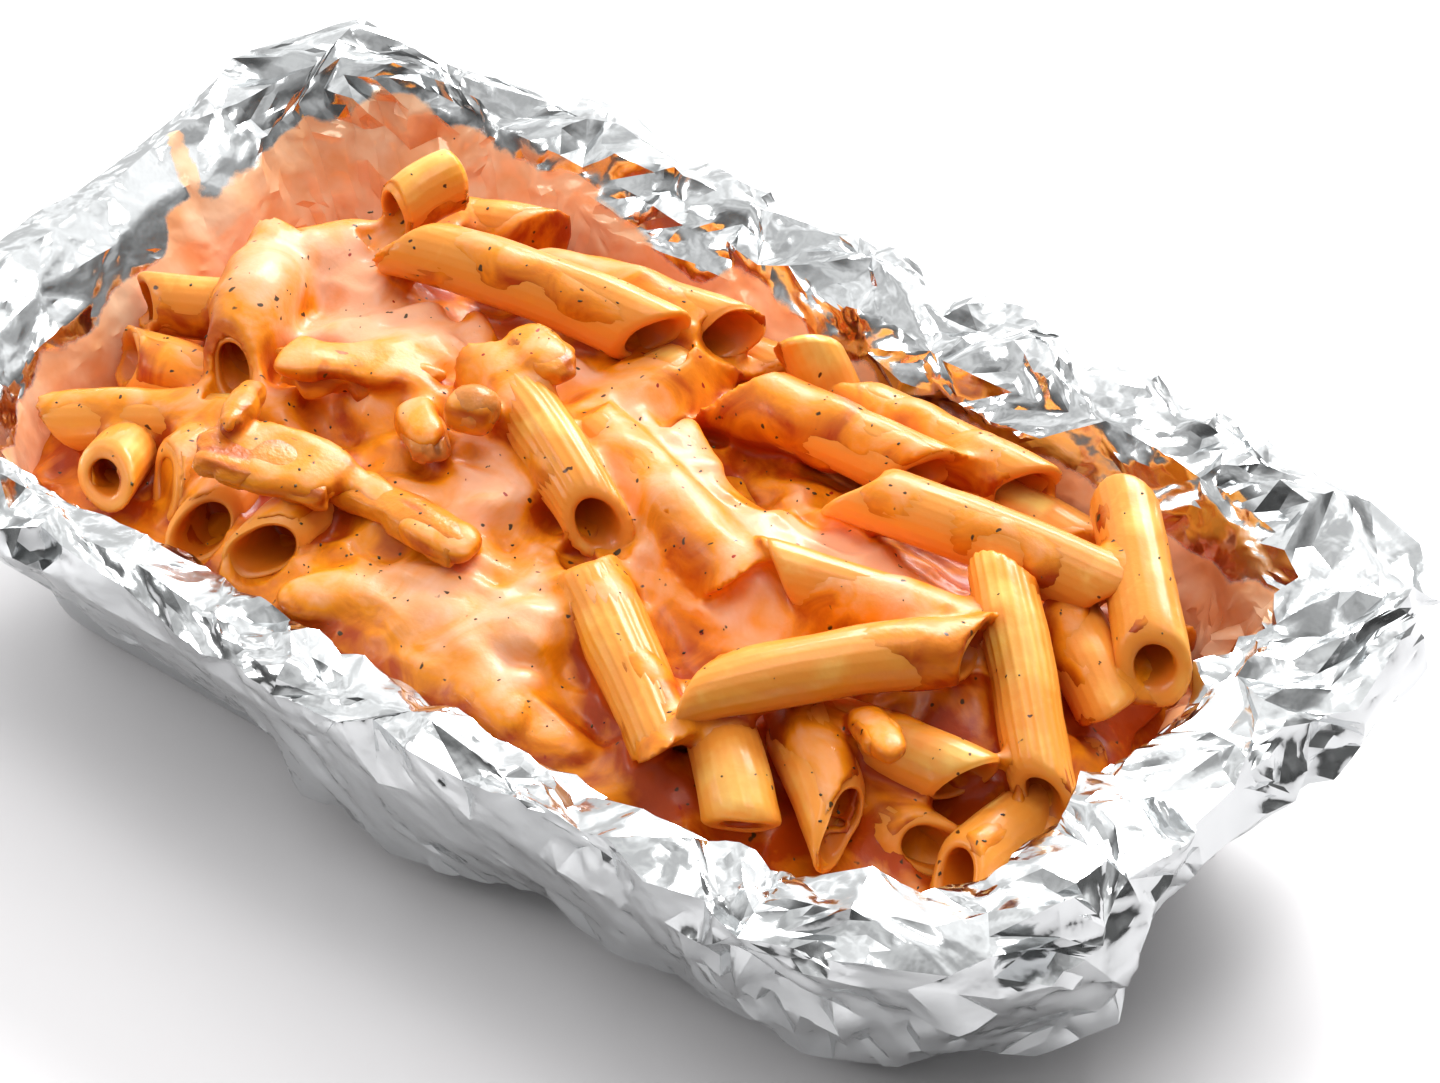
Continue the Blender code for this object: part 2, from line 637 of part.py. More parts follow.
def sauce_mesh():
    """Builds the blanket of sauce, whole, before the pasta and the chunks are cut out of it."""
    verts = []
    outline = []
    for k in range(SAUCE_STATIONS):
        angle = math.tau * k / SAUCE_STATIONS
        wave = 1 + 0.07 * math.sin(3 * angle + 0.6) + 0.05 * math.sin(5 * angle)
        reach_x = SAUCE_REACH[0] * math.cos(angle) * wave
        reach_y = SAUCE_REACH[1] * math.sin(angle) * wave
        x, y, _ = press_inside((SAUCE_CENTRE[0] + reach_x, SAUCE_CENTRE[1] + reach_y, 30.0), HEAP_WALL_GAP + 1)
        outline.append((x, y))
    for layer in (0, 1):
        for ring in range(SAUCE_RINGS):
            share = (ring + 1) / SAUCE_RINGS
            thick = SAUCE_THICKNESS + (SAUCE_EDGE_THICKNESS - SAUCE_THICKNESS) * share ** 3
            rise = thick if layer else 0.0
            for x, y in outline:
                px = SAUCE_CENTRE[0] + (x - SAUCE_CENTRE[0]) * share
                py = SAUCE_CENTRE[1] + (y - SAUCE_CENTRE[1]) * share
                verts.append((px, py, heap_height(px, py) + SAUCE_RISE + rise))
    faces = []
    middles = []
    for layer in (0, 1):
        base = layer * SAUCE_RINGS * SAUCE_STATIONS
        middles.append(len(verts))
        x, y = SAUCE_CENTRE
        verts.append((x, y, heap_height(x, y) + SAUCE_RISE + layer * SAUCE_THICKNESS))
        for k in range(SAUCE_STATIONS):
            after = (k + 1) % SAUCE_STATIONS
            faces.append((middles[layer], base + k, base + after))
            for ring in range(SAUCE_RINGS - 1):
                low, high = base + ring * SAUCE_STATIONS, base + (ring + 1) * SAUCE_STATIONS
                faces.append((low + k, high + k, high + after, low + after))
    under = (SAUCE_RINGS - 1) * SAUCE_STATIONS
    over = (2 * SAUCE_RINGS - 1) * SAUCE_STATIONS
    for k in range(SAUCE_STATIONS):
        after = (k + 1) % SAUCE_STATIONS
        faces.append((under + k, under + after, over + after, over + k))
    return mesh_from("sauce", verts, faces)


def build_sauce(collection, material, chunk_cutters):
    """Makes the sauce: a thick blanket over the core, cut clear of the pasta and the chunks."""
    item = make_object("sauce", sauce_mesh(), collection, material)
    cutters = [penne_mesh(number, TOUCH_GAP) for number in range(len(PENNE))] + chunk_cutters
    join_all(item, cutters, operation="DIFFERENCE")
    keep_largest(item)
    return item


def main():
    """Builds the tray, the foil, the heap, the chunks and the sauce."""
    clear_scene()
    collection = bpy.data.collections.new("foil_tray_meal")
    bpy.context.scene.collection.children.link(collection)
    materials = {name: make_material(name) for name in COLOURS}
    build_tray(collection, materials["tray_foil"])
    build_foil(collection, materials["crumpled_foil"])
    heap = build_heap(collection, materials["penne"])
    cutters = build_chunks(collection, materials, heap)
    build_sauce(collection, materials["sauce"], cutters)


main()
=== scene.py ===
"""Looks of the foil tray meal: penne and chicken in a creamy tomato sauce, in a foil-wrapped tray.

Sizes in the tables are millimetres in the frame of the CAD model: +X along the tray, +Y across it
to the far side, +Z up. The origin is the middle of the tray's flat underside. Meshes are in metres.
"""

import itertools
import json
import logging
import math
import random
from dataclasses import dataclass, field
from enum import Enum

import bmesh
import bpy
import numpy as np
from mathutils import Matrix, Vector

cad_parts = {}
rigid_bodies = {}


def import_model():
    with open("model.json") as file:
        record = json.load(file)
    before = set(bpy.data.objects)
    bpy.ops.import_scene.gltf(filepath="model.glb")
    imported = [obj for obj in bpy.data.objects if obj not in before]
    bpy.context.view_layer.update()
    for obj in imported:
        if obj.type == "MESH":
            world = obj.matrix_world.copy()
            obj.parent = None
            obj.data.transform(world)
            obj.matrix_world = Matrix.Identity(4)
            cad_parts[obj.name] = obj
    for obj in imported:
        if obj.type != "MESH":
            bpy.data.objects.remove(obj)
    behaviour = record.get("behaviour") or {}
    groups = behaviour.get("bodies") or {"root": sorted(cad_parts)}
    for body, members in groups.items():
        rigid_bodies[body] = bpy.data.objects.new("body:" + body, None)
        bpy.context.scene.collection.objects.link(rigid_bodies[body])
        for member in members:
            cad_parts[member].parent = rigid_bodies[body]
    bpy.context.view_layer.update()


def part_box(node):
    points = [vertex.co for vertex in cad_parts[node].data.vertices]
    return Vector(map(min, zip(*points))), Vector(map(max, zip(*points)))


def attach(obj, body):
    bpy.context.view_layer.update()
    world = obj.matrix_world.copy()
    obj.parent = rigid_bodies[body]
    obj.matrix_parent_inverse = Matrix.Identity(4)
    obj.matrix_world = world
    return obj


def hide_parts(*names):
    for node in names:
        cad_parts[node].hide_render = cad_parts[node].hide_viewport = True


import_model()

import openvdb
from mathutils import Matrix, Vector
from mathutils.bvhtree import BVHTree

LOG = logging.getLogger("foil_tray_meal")

MM = 0.001

Pair = tuple[float, float]
Point = tuple[float, float, float]
Triple = tuple[float, float, float]
Span = tuple[float, float, float, float]


# Small helpers for colour, nodes, meshes and noise

def linear(hex_colour: str) -> tuple[float, float, float, float]:
    """Turns an sRGB hex colour into linear RGBA.

    Args:
        hex_colour: six hex digits, with or without a leading hash.

    Returns:
        The linear red, green, blue and an alpha of one.
    """
    digits = hex_colour.lstrip("#")
    parts = [int(digits[i:i + 2], 16) / 255 for i in (0, 2, 4)]
    red, green, blue = [p / 12.92 if p <= 0.04045 else ((p + 0.055) / 1.055) ** 2.4 for p in parts]
    return red, green, blue, 1.0


def pattern_scale(size_mm: float) -> float:
    """Returns the scale that gives a pattern's features a size in millimetres."""
    return 1 / (size_mm * MM)


def fill_sockets(node: bpy.types.Node, values: dict) -> None:
    """Links or sets a node's inputs.

    Args:
        node: the node.
        values: for each input's name or number, a socket to link from or a value to set.
    """
    for socket, value in values.items():
        if isinstance(value, bpy.types.NodeSocket):
            node.id_data.links.new(value, node.inputs[socket])
        else:
            node.inputs[socket].default_value = value


def add_node(tree: bpy.types.NodeTree, kind: str, links: dict | None = None,
             **settings: object) -> bpy.types.Node:
    """Adds a node with its settings and links.

    Args:
        tree: the node tree that takes the node.
        kind: Blender's name of the node's type.
        links: for each input's name or number, a socket to link from or a value to set.
        settings: properties of the node itself; stops gives a colour ramp its positions and colours.

    Returns:
        The new node.
    """
    node = tree.nodes.new(kind)
    for number, (position, colour) in enumerate(settings.pop("stops", ())):
        elements = node.color_ramp.elements
        element = elements[number] if number < 2 else elements.new(position)
        element.position = position
        element.color = linear(colour) if isinstance(colour, str) else (colour, colour, colour, 1.0)
    for name, value in settings.items():
        setattr(node, name, value)
    fill_sockets(node, links or {})
    return node


def new_material(name: str) -> tuple[bpy.types.Material, bpy.types.NodeTree, bpy.types.Node]:
    """Makes an empty node material.

    Args:
        name: the material's name.

    Returns:
        The material, its node tree and its Principled shader.
    """
    material = bpy.data.materials.new(name)
    material.use_nodes = True
    tree = material.node_tree
    return material, tree, tree.nodes["Principled BSDF"]


def make_piece(name: str, verts: np.ndarray, faces: list | np.ndarray,
               material: bpy.types.Material) -> bpy.types.Object:
    """Links a new mesh object, smooth shaded.

    Args:
        name: the object's name.
        verts: points in millimetres.
        faces: index tuples.
        material: what it is made of.

    Returns:
        The object, in the scene.
    """
    mesh = bpy.data.meshes.new(name)
    places = (np.asarray(verts, float) * MM).tolist()
    mesh.from_pydata(places, [], faces.tolist() if isinstance(faces, np.ndarray) else faces)
    mesh.materials.append(material)
    mesh.shade_smooth()
    item = bpy.data.objects.new(name, mesh)
    bpy.context.scene.collection.objects.link(item)
    return item


def apply_modifiers(item: bpy.types.Object) -> None:
    """Turns what an object's modifiers make into its mesh.

    Args:
        item: the object.
    """
    shape = item.evaluated_get(bpy.context.evaluated_depsgraph_get())
    item.data = bpy.data.meshes.new_from_object(shape)
    item.modifiers.clear()
    item.data.shade_smooth()


def set_values(item: bpy.types.Object, name: str, values: np.ndarray) -> None:
    """Stores one number for each point of the object's mesh, for its material to read."""
    layer = item.data.attributes.new(name, "FLOAT", "POINT")
    layer.data.foreach_set("value", np.asarray(values, np.float32))


def blend(low: np.ndarray, high: np.ndarray, share: np.ndarray) -> np.ndarray:
    """Mixes two values by a share from 0 to 1."""
    return low + (high - low) * share


def soft_step(value: np.ndarray, low: float, high: float) -> np.ndarray:
    """Rises smoothly from 0 at low to 1 at high."""
    t = np.clip((value - low) / (high - low), 0.0, 1.0)
    return t * t * (3 - 2 * t)


def stretch(place: np.ndarray, span: Span) -> np.ndarray:
    """Returns 1 on a stretch, rising from 0 before it and falling to 0 after it."""
    return soft_step(place, span[0], span[1]) * (1 - soft_step(place, span[2], span[3]))


def soft_min(first: np.ndarray, second: np.ndarray, reach: float) -> np.ndarray:
    """Returns the smaller of two distances, rounded over where they are closer than reach."""
    share = np.clip(0.5 + 0.5 * (second - first) / reach, 0.0, 1.0)
    return blend(second, first, share) - reach * share * (1 - share)


def noise_at(points: np.ndarray, wavelength: float, seed: int) -> np.ndarray:
    """Returns smooth random values from -1 to 1.

    Args:
        points: an array whose last axis is the place, in millimetres.
        wavelength: the distance between independent values, in millimetres.
        seed: which field of random values.

    Returns:
        One value for each point.
    """
    scaled = np.asarray(points, np.float64) / wavelength + 1000.0
    cell = np.floor(scaled).astype(np.int64)
    part = scaled - cell
    part = part * part * part * (part * (part * 6 - 15) + 10)
    total = np.zeros(scaled.shape[:-1])
    primes = (73856093, 19349663, 83492791)
    for corner in itertools.product((0, 1), repeat=scaled.shape[-1]):
        weight = np.ones(scaled.shape[:-1])
        key = np.full(scaled.shape[:-1], seed * 2654435761 % 4294967296, np.int64)
        for axis, step in enumerate(corner):
            weight = weight * (part[..., axis] if step else 1 - part[..., axis])
            key ^= (cell[..., axis] + step) * primes[axis]
        key = (key ^ (key >> 13)) * 1274126177 & 0xFFFFFFFF
        key = (key ^ (key >> 16)) & 0xFFFFFF
        total += weight * (key / 8388607.5 - 1.0)
    return total


# The shape of the tray, shared by the foil, the tray and the food

@dataclass(frozen=True)
class TrayOutline:
    """The rounded oblong of the foil's crest, and the slant of the tray's wall under it."""

    length: float = 198.0
    width: float = 111.0
    radius: float = 24.0
    height: float = 43.0
    base_inset: float = 11.0
    lean_from: float = 36.0
    lean_over: float = 4.0
    lean_in: float = 1.5
    table_steps: int = 720

    def wall(self, z: float | np.ndarray) -> float | np.ndarray:
        """Returns how far the tray's wall stands outside the crest line at a height."""
        return -self.base_inset * (1 - z / self.height)

    def at(self, share: float, offset: float = 0.0) -> tuple[float, float]:
        """Returns a point of the crest line, moved outward.

        Args:
            share: how far round, from the middle of the near long side towards +X.
            offset: how far outward from the line.

        Returns:
            Its x and y.
        """
        half_x = self.length / 2 - self.radius
        half_y = self.width / 2 - self.radius
        arc = math.pi / 2 * self.radius
        sides = (half_x, arc, 2 * half_y, arc, 2 * half_x, arc, 2 * half_y, arc, half_x)
        run = (share % 1.0) * sum(sides)
        turn = -math.pi / 2
        x, y = 0.0, -half_y
        for number, side in enumerate(sides):
            step = min(run, side)
            if number % 2:
                turn += step / self.radius
            else:
                x -= math.sin(turn) * step
                y += math.cos(turn) * step
            run -= step
            if run <= 0:
                break
        reach = self.radius + offset
        return x + math.cos(turn) * reach, y + math.sin(turn) * reach

    def outside(self, x: np.ndarray, y: np.ndarray) -> np.ndarray:
        """Returns how far points lie outside the crest line, below zero inside it.

        Args:
            x: places along, in millimetres.
            y: places across.

        Returns:
            The distances, negative inside.
        """
        qx = np.abs(x) - (self.length / 2 - self.radius)
        qy = np.abs(y) - (self.width / 2 - self.radius)
        far = np.hypot(np.maximum(qx, 0.0), np.maximum(qy, 0.0))
        return far + np.minimum(np.maximum(qx, qy), 0.0) - self.radius

    def outward(self, points: np.ndarray, step: float) -> np.ndarray:
        """Returns the level direction away from the crest line at each point.

        Args:
            points: places in millimetres.
            step: how far apart the slope is measured.

        Returns:
            One direction for each point.
        """
        x, y = points[:, 0], points[:, 1]
        slope_x = (self.outside(x + step, y) - self.outside(x - step, y)) / (2 * step)
        slope_y = (self.outside(x, y + step) - self.outside(x, y - step)) / (2 * step)
        return np.stack([slope_x, slope_y, np.zeros(len(points))], 1)

    def food_limit(self, z: np.ndarray, gap: float) -> np.ndarray:
        """Returns how far out food may lie at a height, with a gap to the wall that shrinks at the top."""
        rise = np.clip((z - self.lean_from) / self.lean_over, 0.0, 1.0)
        return self.wall(np.minimum(z, self.height)) - gap + self.lean_in * rise

    def share_of(self, x: np.ndarray, y: np.ndarray) -> np.ndarray:
        """Returns roughly how far round points lie, as a share from 0 to 1.

        Args:
            x: places along, in millimetres.
            y: places across.

        Returns:
            The shares, from 0 to 1.
        """
        steps = self.table_steps
        table = np.array([self.at(k / steps) for k in range(steps)])
        angle = np.arctan2(table[:, 1] / self.width, table[:, 0] / self.length)
        angle = np.unwrap(angle)
        place = np.arctan2(np.asarray(y) / self.width, np.asarray(x) / self.length)
        place = (place - angle[0]) % math.tau + angle[0]
        return np.interp(place, angle, np.arange(steps) / steps)


OUTLINE = TrayOutline()


# Finishes

@dataclass(frozen=True)
class CrumpledFoilFinish:
    """Household aluminium foil, rolled bright and then crumpled by hand.

    To the eye: mirror-like facets between sharp creases, with sauce smeared over the inner wall.
    """

    colour: str = "#e2e4e5"
    dull: str = "#c3c6c7"
    smear: str = "#ffd8b2"
    smear_deep: str = "#f6b47e"
    ripple_mm: float = 1.6
    ripple_height_mm: float = 0.4
    ripple_strength: float = 0.14
    haze_mm: float = 16.667
    patch_mm: float = 6.667
    smear_tone_mm: float = 11.111
    smear_edge: Pair = (1.02, 1.28)
    smeared_metallic: float = 0.08
    roughness: Pair = (0.09, 0.22)

    def material(self) -> bpy.types.Material:
        """Builds the foil's material; the mesh says where sauce is smeared.

        Returns:
            The material.
        """
        material, tree, shader = new_material("crumpled_household_foil")
        place = add_node(tree, "ShaderNodeTexCoord").outputs["Object"]
        ripple = add_node(tree, "ShaderNodeTexNoise", {
            "Vector": place, "Scale": pattern_scale(self.ripple_mm), "Detail": 1.0})
        haze = add_node(tree, "ShaderNodeTexNoise", {
            "Vector": place, "Scale": pattern_scale(self.haze_mm), "Detail": 3.0})
        bump = add_node(tree, "ShaderNodeBump", {
            "Height": ripple.outputs["Fac"], "Strength": self.ripple_strength,
            "Distance": self.ripple_height_mm * MM})
        smear = add_node(tree, "ShaderNodeAttribute", attribute_name="smear")
        patch = add_node(tree, "ShaderNodeTexNoise", {
            "Vector": place, "Scale": pattern_scale(self.patch_mm), "Detail": 5.0, "Roughness": 0.6})
        spread = add_node(tree, "ShaderNodeMath", {
            0: smear.outputs["Fac"], 1: patch.outputs["Fac"]}, operation="ADD")
        mask = add_node(tree, "ShaderNodeMapRange", {
            "Value": spread.outputs[0], "From Min": self.smear_edge[0], "From Max": self.smear_edge[1]},
            interpolation_type="SMOOTHSTEP")
        foil = add_node(tree, "ShaderNodeMix", {
            "Factor": haze.outputs["Fac"], "A": linear(self.colour), "B": linear(self.dull)},
            data_type="RGBA")
        tone = add_node(tree, "ShaderNodeTexNoise", {
            "Vector": place, "Scale": pattern_scale(self.smear_tone_mm), "Detail": 4.0})
        sauce = add_node(tree, "ShaderNodeValToRGB", {"Fac": tone.outputs["Fac"]},
                         stops=((0.36, self.smear_deep), (0.62, self.smear)))
        colour = add_node(tree, "ShaderNodeMix", {
            "Factor": mask.outputs["Result"], "A": foil.outputs["Result"], "B": sauce.outputs["Color"]},
            data_type="RGBA")
        metal = add_node(tree, "ShaderNodeMapRange", {
            "Value": mask.outputs["Result"], "To Min": 1.0, "To Max": self.smeared_metallic})
        rough = add_node(tree, "ShaderNodeMapRange", {
            "Value": haze.outputs["Fac"], "From Min": 0.3, "From Max": 0.7,
            "To Min": self.roughness[0], "To Max": self.roughness[1]})
        fill_sockets(shader, {
            "Base Color": colour.outputs["Result"], "Metallic": metal.outputs["Result"],
            "Roughness": rough.outputs["Result"], "Normal": bump.outputs["Normal"]})
        return material


@dataclass(frozen=True)
class PressedFoilFinish:
    """Aluminium tray stock, deep-drawn in a press.

    To the eye: a satin grey metal with faint upright draw lines on its wall.
    """

    colour: str = "#c4c6c7"
    line_mm: float = 0.8
    line_stretch: float = 0.04
    line_height_mm: float = 0.2
    line_strength: float = 0.15
    haze_mm: float = 25.0
    roughness: Pair = (0.24, 0.40)

    def material(self) -> bpy.types.Material:
        """Builds the tray's material.

        Returns:
            The material.
        """
        material, tree, shader = new_material("pressed_aluminium_tray")
        place = add_node(tree, "ShaderNodeTexCoord").outputs["Object"]
        drawn = add_node(tree, "ShaderNodeMapping", {
            "Vector": place, "Scale": (1.0, 1.0, self.line_stretch)})
        lines = add_node(tree, "ShaderNodeTexNoise", {
            "Vector": drawn.outputs["Vector"], "Scale": pattern_scale(self.line_mm), "Detail": 2.0})
        haze = add_node(tree, "ShaderNodeTexNoise", {"Vector": place, "Scale": pattern_scale(self.haze_mm)})
        bump = add_node(tree, "ShaderNodeBump", {
            "Height": lines.outputs["Fac"], "Strength": self.line_strength,
            "Distance": self.line_height_mm * MM})
        rough = add_node(tree, "ShaderNodeMapRange", {
            "Value": haze.outputs["Fac"], "To Min": self.roughness[0], "To Max": self.roughness[1]})
        fill_sockets(shader, {
            "Base Color": linear(self.colour), "Metallic": 1.0,
            "Roughness": rough.outputs["Result"], "Normal": bump.outputs["Normal"]})
        return material


def speck_mask(tree: bpy.types.NodeTree, place: bpy.types.NodeSocket, spacing: float, size: float,
               share: float) -> bpy.types.NodeSocket:
    """Draws small specks of uneven outline.

    Args:
        tree: the material's nodes.
        place: the socket that gives the place on the object.
        spacing: the mean distance between candidate specks, in millimetres.
        size: a speck's radius as a share of the spacing.
        share: how many of the candidates are drawn.

    Returns:
        A socket that is 1 on a speck and 0 off it.
    """
    bend = 0.5 * spacing
    warp = add_node(tree, "ShaderNodeTexNoise", {
        "Vector": place, "Scale": pattern_scale(bend), "Detail": 0.0})
    shift = add_node(tree, "ShaderNodeVectorMath", {
        0: warp.outputs["Color"], 1: (bend * MM,) * 3}, operation="MULTIPLY")
    moved = add_node(tree, "ShaderNodeVectorMath", {0: place, 1: shift.outputs[0]}, operation="ADD")
    cells = add_node(tree, "ShaderNodeTexVoronoi", {
        "Vector": moved.outputs[0], "Scale": pattern_scale(spacing)})
    near = add_node(tree, "ShaderNodeMapRange", {
        "Value": cells.outputs["Distance"], "From Min": size * 0.75, "From Max": size,
        "To Min": 1.0, "To Max": 0.0})
    parts = add_node(tree, "ShaderNodeSeparateColor", {"Color": cells.outputs["Color"]})
    picked = add_node(tree, "ShaderNodeMath", {0: parts.outputs[0], 1: share}, operation="LESS_THAN")
    specks = add_node(tree, "ShaderNodeMath", {
        0: near.outputs["Result"], 1: picked.outputs[0]}, operation="MULTIPLY")
    return specks.outputs[0]


@dataclass(frozen=True)
class WetBody:
    """How light soaks into cooked food, and how the film of water and oil on it shines."""

    refraction: float
    soak: float
    spread: Triple
    depth_mm: float = 3.0
    film: float = 0.10
    film_blur: float = 0.08

    def sockets(self) -> dict[str, object]:
        """Returns the shader's settings."""
        return {"IOR": self.refraction, "Subsurface Weight": self.soak, "Subsurface Radius": self.spread,
                "Subsurface Scale": self.depth_mm * MM, "Coat Weight": self.film,
                "Coat Roughness": self.film_blur}


@dataclass(frozen=True)
class CreamSauceFinish:
    """Tomato sauce with cream, simmered thick, with dried herbs and ground pepper.

    To the eye: pale salmon where it lies thick, orange and see-through where it thins over pasta,
    deep red-brown painted shade in the gaps and hollows; wet, so it takes small sharp highlights.
    """

    cream: str = "#f6b48a"
    orange: str = "#f39010"
    # deep is the colour painted into the gaps and hollows: painted shade
    deep: str = "#b44404"
    herb: str = "#4a3414"
    chilli: str = "#a3240c"
    grain_mm: float = 1.1
    grain_height_mm: float = 0.4
    grain_strength: float = 0.22
    swirl_mm: float = 9.091
    sway: float = 0.22
    roughness: Pair = (0.30, 0.48)
    wet: WetBody = WetBody(1.36, 0.35, (1.0, 0.35, 0.12))

    def material(self) -> bpy.types.Material:
        """Builds the sauce's material; the mesh says how thick and how deep the sauce lies, and where painted
        shade darkens its gaps and hollows.

        Returns:
            The material.
        """
        material, tree, shader = new_material("creamy_tomato_sauce")
        place = add_node(tree, "ShaderNodeTexCoord").outputs["Object"]
        cream = add_node(tree, "ShaderNodeAttribute", attribute_name="cream")
        swirl = add_node(tree, "ShaderNodeTexNoise", {
            "Vector": place, "Scale": pattern_scale(self.swirl_mm), "Detail": 4.0, "Distortion": 1.2})
        sway = add_node(tree, "ShaderNodeMapRange", {
            "Value": swirl.outputs["Fac"], "From Min": 0.3, "From Max": 0.7,
            "To Min": -self.sway, "To Max": self.sway})
        # Slopes are painted a little deeper in colour and flats paler, as painted shade and light from above;
        # sauce also runs thin off the slopes
        upward = add_node(tree, "ShaderNodeSeparateXYZ", {
            0: add_node(tree, "ShaderNodeNewGeometry").outputs["Normal"]})
        flat = add_node(tree, "ShaderNodeMapRange", {
            "Value": upward.outputs["Z"], "From Min": 0.45, "From Max": 0.98,
            "To Min": -0.20, "To Max": 0.07})
        sway_and_slope_shade = add_node(tree, "ShaderNodeMath", {
            0: sway.outputs["Result"], 1: flat.outputs["Result"]}, operation="ADD")
        level = add_node(tree, "ShaderNodeMath", {
            0: cream.outputs["Fac"], 1: sway_and_slope_shade.outputs[0]}, operation="ADD", use_clamp=True)
        # The ramp runs from the painted shade of the gaps and hollows, through orange, to pale cream
        body = add_node(tree, "ShaderNodeValToRGB", {"Fac": level.outputs[0]},
                        stops=((0.0, self.deep), (0.80, self.cream), (0.36, self.orange)))
        herbs = speck_mask(tree, place, 2.6, 0.17, 0.30)
        chillies = speck_mask(tree, place, 3.9, 0.11, 0.22)
        green = add_node(tree, "ShaderNodeMix", {
            "Factor": herbs, "A": body.outputs["Color"], "B": linear(self.herb)}, data_type="RGBA")
        red = add_node(tree, "ShaderNodeMix", {
            "Factor": chillies, "A": green.outputs["Result"], "B": linear(self.chilli)}, data_type="RGBA")
        grain = add_node(tree, "ShaderNodeTexNoise", {
            "Vector": place, "Scale": pattern_scale(self.grain_mm), "Detail": 3.0})
        bump = add_node(tree, "ShaderNodeBump", {
            "Height": grain.outputs["Fac"], "Strength": self.grain_strength,
            "Distance": self.grain_height_mm * MM})
        rough = add_node(tree, "ShaderNodeMapRange", {
            "Value": swirl.outputs["Fac"], "To Min": self.roughness[0], "To Max": self.roughness[1]})
        shader.subsurface_method = "BURLEY"
        fill_sockets(shader, {
            "Base Color": red.outputs["Result"], "Roughness": rough.outputs["Result"],
            "Normal": bump.outputs["Normal"], **self.wet.sockets()})
        return material


@dataclass(frozen=True)
class CookedPennePasta:
    """Durum wheat pasta, extruded with ridges and boiled, then turned in the sauce.

    To the eye: warm yellow and slightly see-through, with a wet film that is redder in its grooves
    and where the sauce laps against it.
    """

    bare: str = "#fdd070"
    golden: str = "#f29a14"
    sauced: str = "#f09636"
    # inner is the bore's colour, a deeper orange painted as shade inside the tube
    inner: str = "#cf6c14"
    herb: str = "#55300f"
    tone_mm: float = 8.333
    film_mm: float = 5.263
    film_edge: Pair = (0.65, 1.40)
    grain_mm: float = 0.7143
    grain_height_mm: float = 0.3
    grain_strength: float = 0.12
    roughness: Pair = (0.22, 0.44)
    wet: WetBody = WetBody(1.38, 0.35, (1.0, 0.5, 0.15), film_blur=0.06)

    def material(self) -> bpy.types.Material:
        """Builds the pasta's material; the mesh says where it is wet with sauce and where its bore is, which
        is painted darker as painted shade.

        Returns:
            The material.
        """
        material, tree, shader = new_material("boiled_penne")
        place = add_node(tree, "ShaderNodeTexCoord").outputs["Object"]
        wet = add_node(tree, "ShaderNodeAttribute", attribute_name="wet")
        bore = add_node(tree, "ShaderNodeAttribute", attribute_name="bore")
        tone = add_node(tree, "ShaderNodeTexNoise", {
            "Vector": place, "Scale": pattern_scale(self.tone_mm), "Detail": 3.0})
        # The tops are painted paler and the sides deeper: painted light and shade from above
        upward = add_node(tree, "ShaderNodeSeparateXYZ", {
            0: add_node(tree, "ShaderNodeNewGeometry").outputs["Normal"]})
        top = add_node(tree, "ShaderNodeMapRange", {
            "Value": upward.outputs["Z"], "From Min": -0.1, "From Max": 0.9, "To Min": -0.20, "To Max": 0.14})
        tone_and_top_light = add_node(tree, "ShaderNodeMath", {
            0: tone.outputs["Fac"], 1: top.outputs["Result"]}, operation="ADD")
        pasta = add_node(tree, "ShaderNodeValToRGB", {"Fac": tone_and_top_light.outputs[0]},
                         stops=((0.34, self.golden), (0.66, self.bare)))
        film = add_node(tree, "ShaderNodeTexNoise", {
            "Vector": place, "Scale": pattern_scale(self.film_mm), "Detail": 4.0, "Distortion": 0.8})
        sum_wet = add_node(tree, "ShaderNodeMath", {
            0: wet.outputs["Fac"], 1: film.outputs["Fac"]}, operation="ADD")
        coat = add_node(tree, "ShaderNodeMapRange", {
            "Value": sum_wet.outputs[0], "From Min": self.film_edge[0], "From Max": self.film_edge[1]})
        outer = add_node(tree, "ShaderNodeMix", {
            "Factor": coat.outputs["Result"], "A": pasta.outputs["Color"], "B": linear(self.sauced)},
            data_type="RGBA")
        # The bore is painted in the deeper inner colour: painted shade inside the tube
        skin = add_node(tree, "ShaderNodeMix", {
            "Factor": bore.outputs["Fac"], "A": outer.outputs["Result"], "B": linear(self.inner)},
            data_type="RGBA")
        specks = speck_mask(tree, place, 3.4, 0.12, 0.2)
        colour = add_node(tree, "ShaderNodeMix", {
            "Factor": specks, "A": skin.outputs["Result"], "B": linear(self.herb)}, data_type="RGBA")
        grain = add_node(tree, "ShaderNodeTexNoise", {
            "Vector": place, "Scale": pattern_scale(self.grain_mm), "Detail": 2.0})
        bump = add_node(tree, "ShaderNodeBump", {
            "Height": grain.outputs["Fac"], "Strength": self.grain_strength,
            "Distance": self.grain_height_mm * MM})
        rough = add_node(tree, "ShaderNodeMapRange", {
            "Value": film.outputs["Fac"], "To Min": self.roughness[0], "To Max": self.roughness[1]})
        shader.subsurface_method = "BURLEY"
        fill_sockets(shader, {
            "Base Color": colour.outputs["Result"], "Roughness": rough.outputs["Result"],
            "Normal": bump.outputs["Normal"], **self.wet.sockets()})
        return material


class Bite(Enum):
    """What a chunk in the sauce is."""

    CHICKEN = "chicken"
    MUSHROOM = "mushroom"


